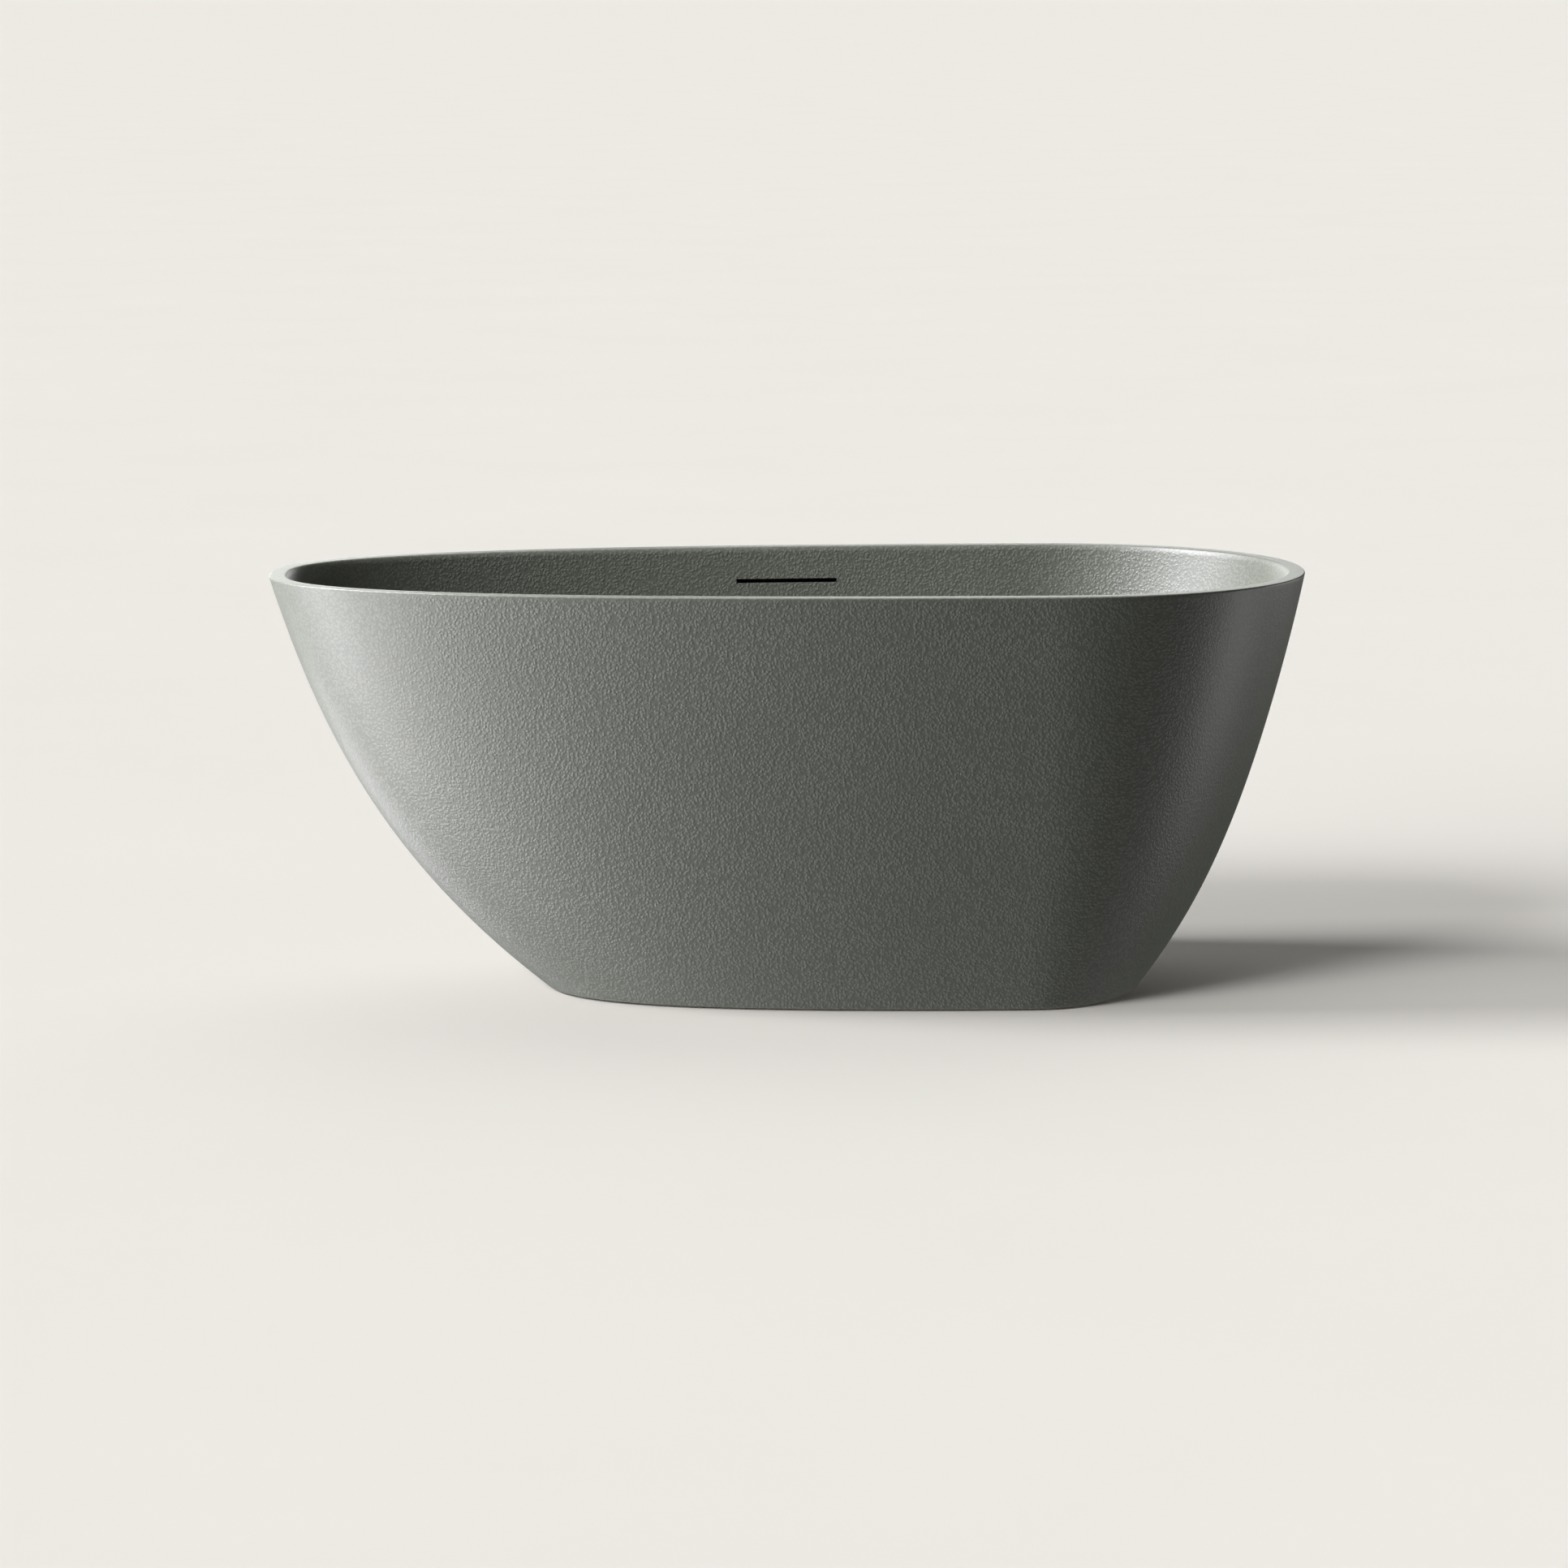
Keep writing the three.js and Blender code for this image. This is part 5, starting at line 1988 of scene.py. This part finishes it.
@dataclass
class Foot:
    """One levelling foot: pad, threaded stud, lock nut and welded bush."""

    corner: Corner
    thread: ThreadedRod = field(default_factory=ThreadedRod)
    stud_foot: float = 10.3
    stud_top: float = 96.0
    hex_across: float = 19.0
    hex_foot: float = 16.0
    hex_tall: float = 8.0
    pad_radius: float = 25.0
    pad_tall: float = 14.0
    pad_ease: float = 0.8
    sole: float = 3.0
    sole_bevel: float = 1.5
    socket: float = 8.0
    socket_wall: float = 4.0
    socket_depth: float = 4.0
    bush_radius: float = 12.0
    bush_ease: float = 0.6
    bore: float = 6.3
    nut_across: float = 19.0
    chamfer: float = 1.3
    flat_share: float = 0.47
    corner_slope: float = 30.0

    def zero(self) -> Vector:
        """The floor under the stud, in metres."""
        middle = centre_of(f"foot_stud_{self.corner.value}")
        return Vector((middle.x, middle.y, 0.0))

    def hexagon(self, across: float, low: float, high: float, bore: float) -> list[np.ndarray]:
        """Rings of a chamfered hexagon between two heights, with or without a bore.

        Args:
            across: The distance across the flats.
            low: The height of its underside.
            high: The height of its top.
            bore: The bore's radius, or 0 for none.

        Returns:
            The rings, from the underside up.
        """
        corner, flat = across / math.sqrt(3), across * self.flat_share
        rise = (corner - flat) * math.tan(math.radians(self.corner_slope))
        profile = [
            (bore, low), (flat, low), (corner, low + rise),
            (corner, high - rise), (flat, high), (bore, high),
        ]
        return hex_rings(profile, across)

    def build(self) -> None:
        """Builds the foot's four pieces."""
        self.pad()
        self.stud()
        self.lock_nut()
        self.bush()

    def pad(self) -> None:
        """Builds the pad: a flat sole under a cone, with a socket for the stud's foot."""
        name, wide, edge = self.corner.value, self.pad_radius, self.sole_bevel
        top, seat = self.pad_tall, self.pad_tall - self.socket_depth
        corners = [
            (0.0, 0.0), (wide - edge, 0.0), (wide, edge), (wide, self.sole + 2),
            (self.socket + self.socket_wall, top), (self.socket, top), (self.socket, seat), (0.0, seat),
        ]
        shape = Shape().turn(eased(corners, self.pad_ease), 96, looped=False)
        piece = shape.make(f"foot_pad_moulding_{name}", self.zero())
        settle(piece, Body.PAD.value + name, Slot.RUBBER, [f"foot_pad_{name}"], [NITRILE])

    def stud(self) -> None:
        """Builds the stud: a rolled thread, with a hexagon near its foot to turn it by."""
        name = self.corner.value
        shape = Shape().loft(self.thread.rings(self.stud_foot, self.stud_top, self.chamfer), caps=True)
        piece = shape.make(f"foot_stud_threaded_{name}", self.zero(), SHARP_THREAD)
        jam = Shape().loft(self.hexagon(self.hex_across, self.hex_foot, self.hex_foot + self.hex_tall, 0.0))
        combined(piece, [jam.make("jam", self.zero())], "UNION", SHARP_THREAD)
        settle(piece, Body.STUD.value + name, Slot.ZINC, [f"foot_stud_{name}"], [ZINC])

    def lock_nut(self) -> None:
        """Builds the hexagonal lock nut under the bush."""
        name = self.corner.value
        low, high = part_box(f"foot_lock_nut_{name}")
        rings = self.hexagon(self.nut_across, low.z / MM, high.z / MM, self.bore)
        piece = Shape().loft(rings, looped=True).make(f"foot_lock_nut_hex_{name}", self.zero(), sharp=25.0)
        settle(piece, Body.BATH.value, Slot.ZINC, [f"foot_lock_nut_{name}"], [ZINC])

    def bush(self) -> None:
        """Builds the bush that is welded under the frame."""
        name = self.corner.value
        low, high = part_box(f"foot_bush_{name}")
        sleeve = eased(tube(self.bore, self.bush_radius, low.z / MM, high.z / MM), self.bush_ease)
        piece = Shape().turn(sleeve, 72).make(f"foot_bush_turned_{name}", self.zero())
        settle(piece, Body.BATH.value, Slot.ZINC, [f"foot_bush_{name}"], [ZINC])


@dataclass
class FrameScrew:
    """One pan-head screw through a rail into the board."""

    corner: Corner
    radius: float = 3.0
    head: float = 6.0
    head_tall: float = 3.0
    dome_from: float = 0.55
    dome_share: float = 0.86
    fit: float = 0.3
    rail_tall: float = 20.0
    bite: float = 8.0
    socket: float = 1.92
    socket_depth: float = 1.9
    thread_pitch: float = 1.8
    thread_depth: float = 0.7
    thread_lead: float = 6.0
    point: float = 1.6
    point_radius: float = 1.4
    steps: int = 36

    def build(self) -> None:
        """Builds the screw: domed head with a round socket, plain shank and coarse thread."""
        node, tall = f"frame_screw_{self.corner.value}", self.head_tall
        turns = np.linspace(self.dome_from, math.pi / 2, 8)
        dome = [(self.head * math.sin(t), tall * self.dome_share * (1 - math.cos(t))) for t in turns]
        rail_top = tall + self.fit + self.rail_tall
        thread_foot, tip = rail_top - self.thread_lead, rail_top + self.bite
        profile = [
            (0.0, self.socket_depth), (self.socket, self.socket_depth), (self.socket, dome[0][1]), *dome,
            (self.head, tall), (self.radius, tall), (self.radius, thread_foot),
        ]
        thread = ThreadedRod(self.radius, self.thread_pitch, self.thread_depth, self.steps)
        plain = [circle(radius, z, self.steps) for radius, z in profile]
        screw = Shape().loft([*plain, *thread.rings(thread_foot, tip, self.point)])
        screw.loft([circle(radius, tip, self.steps) for radius in (self.point_radius, 0.0)])
        piece = screw.make(node + "_pan_head", foot_of(node), SHARP_THREAD)
        settle(piece, Body.BATH.value, Slot.STEEL, [node], [STEEL])


# ---- Studio ----


def heading_of(turn: float, lift: float) -> Vector:
    """Finds the way from the bath to a light.

    Args:
        turn: Degrees round the bath, from the front at 0 through the left end at 90.
        lift: Degrees above the floor.

    Returns:
        The heading, one unit long.
    """
    round_bath, up = math.radians(turn), math.radians(lift)
    return Vector((-math.sin(round_bath) * math.cos(up), -math.cos(round_bath) * math.cos(up), math.sin(up)))


@dataclass(frozen=True)
class SoftBox:
    """A square soft light aimed at the bath's middle, for the bath alone."""

    name: str
    turn: float
    lift: float
    away: float
    side: float
    watts: float
    colour: str = "#FFFFFF"

    def build(self, lit: bpy.types.Collection) -> None:
        """Hangs the light at its turn round the bath, its lift and its distance.

        Args:
            lit: The pieces that it lights.
        """
        lamp = bpy.data.lights.new(self.name, "AREA")
        lamp.shape = "SQUARE"
        lamp.size = self.side
        lamp.energy = self.watts
        lamp.color = linear(self.colour)[:3]
        holder = bpy.data.objects.new(self.name, lamp)
        way = heading_of(self.turn, self.lift)
        holder.location = Vector((0.0, 0.0, LIGHT_HEIGHT)) + way * self.away
        holder.rotation_euler = way.to_track_quat("Z", "Y").to_euler()
        holder.visible_camera = False
        bpy.context.scene.collection.objects.link(holder)
        holder.light_linking.receiver_collection = lit


@dataclass(frozen=True)
class FloorWash:
    """A broad even light from far away, for the floor alone: the bath shades it."""

    name: str
    turn: float
    lift: float
    spread: float
    strength: float

    def build(self, lit: bpy.types.Collection) -> None:
        """Sets the light's heading and its softness.

        Args:
            lit: The pieces that it lights.
        """
        lamp = bpy.data.lights.new(self.name, "SUN")
        lamp.energy = self.strength
        lamp.angle = math.radians(self.spread)
        holder = bpy.data.objects.new(self.name, lamp)
        holder.rotation_euler = heading_of(self.turn, self.lift).to_track_quat("Z", "Y").to_euler()
        bpy.context.scene.collection.objects.link(holder)
        holder.light_linking.receiver_collection = lit


@dataclass(frozen=True)
class Dome:
    """The light that comes up off the floor, and the backdrop."""

    stops: tuple[tuple[float, float], ...] = ((0.0, 0.0), (0.573, 0.02), (0.707, 0.62))
    backdrop: str = "#EAE8E3"

    def build(self) -> None:
        """Sets the scene's world: light off the floor from below, and a plain backdrop far away."""
        world = bpy.data.worlds.new("room_dome")
        world.use_nodes = True
        tree = world.node_tree
        tree.nodes.clear()
        heading = add_node(tree, "ShaderNodeTexCoord").outputs["Generated"]
        split = add_node(tree, "ShaderNodeSeparateXYZ", links={"Vector": heading})
        lowered = add_node(
            tree, "ShaderNodeMath", {1: -1.0}, {0: split.outputs["Z"]}, operation="MULTIPLY",
            use_clamp=True,
        )
        ramp = add_node(tree, "ShaderNodeValToRGB", links={"Fac": lowered.outputs["Value"]})
        for i, (place, share) in enumerate(self.stops):
            stop = ramp.color_ramp.elements[i] if i < 2 else ramp.color_ramp.elements.new(place)
            stop.position = place
            stop.color = (share, share, share, 1.0)
        glow = add_node(tree, "ShaderNodeBackground", {"Strength": 1.0}, {"Color": ramp.outputs["Color"]})
        wall = add_node(tree, "ShaderNodeBackground", {"Color": linear(self.backdrop), "Strength": 1.0})
        seen = add_node(tree, "ShaderNodeLightPath").outputs["Is Camera Ray"]
        both = add_node(tree, "ShaderNodeMixShader", links={0: seen, 1: glow.outputs[0], 2: wall.outputs[0]})
        add_node(tree, "ShaderNodeOutputWorld", links={"Surface": both.outputs["Shader"]})
        bpy.context.scene.world = world


@dataclass
class Studio:
    """The pale floor, the soft lights and the camera."""

    reach: float = 400.0
    distance: float = 8.0
    azimuth: float = -1.444
    elevation: float = 8.43
    roll: float = -0.157
    lens: float = 125.84
    sensor: float = 36.0
    shift_x: float = -0.006
    shift_z: float = -0.0146

    def floor(self) -> None:
        """Lays the floor, wide enough to meet the horizon."""
        far = self.reach
        mesh = bpy.data.meshes.new("studio_floor")
        mesh.from_pydata([(-far, -far, 0), (far, -far, 0), (far, far, 0), (-far, far, 0)], [], [(0, 1, 2, 3)])
        floor = bpy.data.objects.new("studio_floor", mesh)
        bpy.context.scene.collection.objects.link(floor)
        mesh.materials.append(PAPER.material())
        floor.visible_diffuse = False
        floor.visible_glossy = False
        floor.visible_shadow = False
        floor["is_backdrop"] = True

    def lights(self) -> None:
        """Hangs the bath's lights and the floor's, each lighting its own pieces."""
        bath = bpy.data.collections.new("lit_bath")
        ground = bpy.data.collections.new("lit_floor")
        for piece in [piece for piece in bpy.context.scene.objects if piece.type == "MESH"]:
            (ground if piece.name == "studio_floor" else bath).objects.link(piece)
        # The shell is lit harder than the floor, and its glow would show on the paper
        bpy.data.objects["outer_shell_skin"].visible_diffuse = False
        for light in LIGHTS:
            light.build(bath)
        for light in WASHES:
            light.build(ground)
        DOME.build()

    def camera(self) -> None:
        """Sets the camera on the bath's middle from its distance and angles."""
        low, high = cad_box
        aim = (low + high) / 2 + Vector((self.shift_x, 0.0, self.shift_z))
        turn, lift, tilt = (math.radians(a) for a in (self.azimuth, self.elevation, self.roll))
        back = Vector((math.sin(turn) * math.cos(lift), -math.cos(turn) * math.cos(lift), math.sin(lift)))
        right = (-back).cross(Vector((0, 0, 1))).normalized()
        up = right.cross(-back).normalized()
        tilted_right = right * math.cos(tilt) + up * math.sin(tilt)
        tilted_up = up * math.cos(tilt) - right * math.sin(tilt)
        lens = bpy.data.cameras.new("camera")
        lens.lens = self.lens
        lens.sensor_width = self.sensor
        lens.clip_start, lens.clip_end = 0.1, 1000.0
        camera = bpy.data.objects.new("camera", lens)
        axes = Matrix((tilted_right, tilted_up, back)).transposed().to_4x4()
        camera.matrix_world = Matrix.Translation(aim + back * self.distance) @ axes
        bpy.context.scene.collection.objects.link(camera)
        bpy.context.scene.camera = camera

    def build(self) -> None:
        """Sets the whole studio, with colours shown as they are lit."""
        self.floor()
        self.lights()
        self.camera()
        bpy.context.scene.view_settings.view_transform = "Standard"


# Seamless background paper: a warm white with the faintest fibre
PAPER = SpeckledFinish(
    name="seamless_paper", colour="#F1EEE8", shade="#EFECE6", blotch=900.0, grain=3.0,
    relief=0.0, roughness=1.0, ior=1.0,
)
DOME = Dome()
# The softboxes aim this far above the floor, in metres
LIGHT_HEIGHT = 0.35
COOL_WHITE = "#FAF8FF"
# Each softbox: degrees round the bath and above the floor, metres away and wide, watts and colour
LIGHTS = (
    SoftBox("left_high_softbox", 90, 42, 6.0, 2.0, 850, COOL_WHITE),
    SoftBox("left_front_high_softbox", 70, 42, 6.0, 2.0, 540, COOL_WHITE),
    SoftBox("left_back_high_softbox", 115, 42, 6.0, 2.0, 236, COOL_WHITE),
    SoftBox("left_raised_softbox", 90, 20, 6.0, 2.0, 135, COOL_WHITE),
    SoftBox("left_bounce", 86, -14, 6.0, 2.0, 311, COOL_WHITE),
    SoftBox("front_left_bounce", 50, -14, 6.0, 2.0, 220, COOL_WHITE),
    SoftBox("left_deep_bounce", 74, -30, 6.0, 2.0, 144, COOL_WHITE),
    SoftBox("back_left_bounce", 130, -28, 6.0, 2.0, 106, COOL_WHITE),
    SoftBox("right_bounce", 272, -14, 6.0, 1.2, 64),
    SoftBox("right_back_softbox", 240, 2, 6.0, 1.2, 64),
    SoftBox("top_softbox", 90, 80, 4.5, 2.5, 75),
    SoftBox("back_left_softbox", 163, 8, 6.0, 2.0, 80),
    SoftBox("back_softbox", 190, 8, 6.0, 2.0, 58),
)
# Each wash: degrees round the bath and above the floor, degrees of spread, and strength
WASHES = (
    FloorWash("left_wash", 95, 33, 22, 2.28),
    FloorWash("front_left_wash", 45, 33, 22, 1.57),
    FloorWash("front_left_low_wash", 45, 11, 22, 1.06),
    FloorWash("left_low_wash", 68, 22, 22, 0.64),
    FloorWash("back_wash", 180, 45, 70, 0.72),
)


def write_sizes() -> None:
    """Works out the CAD model's box and the visual model's box as plain lists; they are not kept."""
    boxes = {"cad": cad_box, "visual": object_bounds()}
    plain = {name: [list(corner) for corner in box] for name, box in boxes.items()}


def main() -> None:
    """Builds the bath's sub-assemblies in order, then the studio."""
    logging.basicConfig(level=logging.INFO, format="%(message)s")
    skins = Skins()
    skins.shell()
    skins.basin()
    waste = Waste()
    waste.flange()
    waste.plug()
    waste.seals()
    trap = Trap()
    trap.bowl()
    trap.nut()
    overflow = Overflow()
    overflow.hose()
    overflow.clamp("hose_clamp_top", level=False)
    overflow.clamp("hose_clamp_bottom", level=True)
    base = BaseFrame()
    base.dress()
    base.welds()
    for corner in Corner:
        Foot(corner).build()
        FrameScrew(corner).build()
    dress_node("rim_bond_bead", MASTIC)
    # The chamber's near-black finish is painted shade for the dark slot
    dress_node("overflow_chamber", SHADE_BLACK_POLYPROPYLENE, 0.6)
    dress_node("overflow_gasket", NITRILE)
    dress_node("dip_tube", POLYPROPYLENE)
    dress_node("dip_tube_seal", NITRILE)
    dress_node("outlet_washer", NITRILE)
    Studio().build()
    write_sizes()


if __name__ == "__main__":
    main()
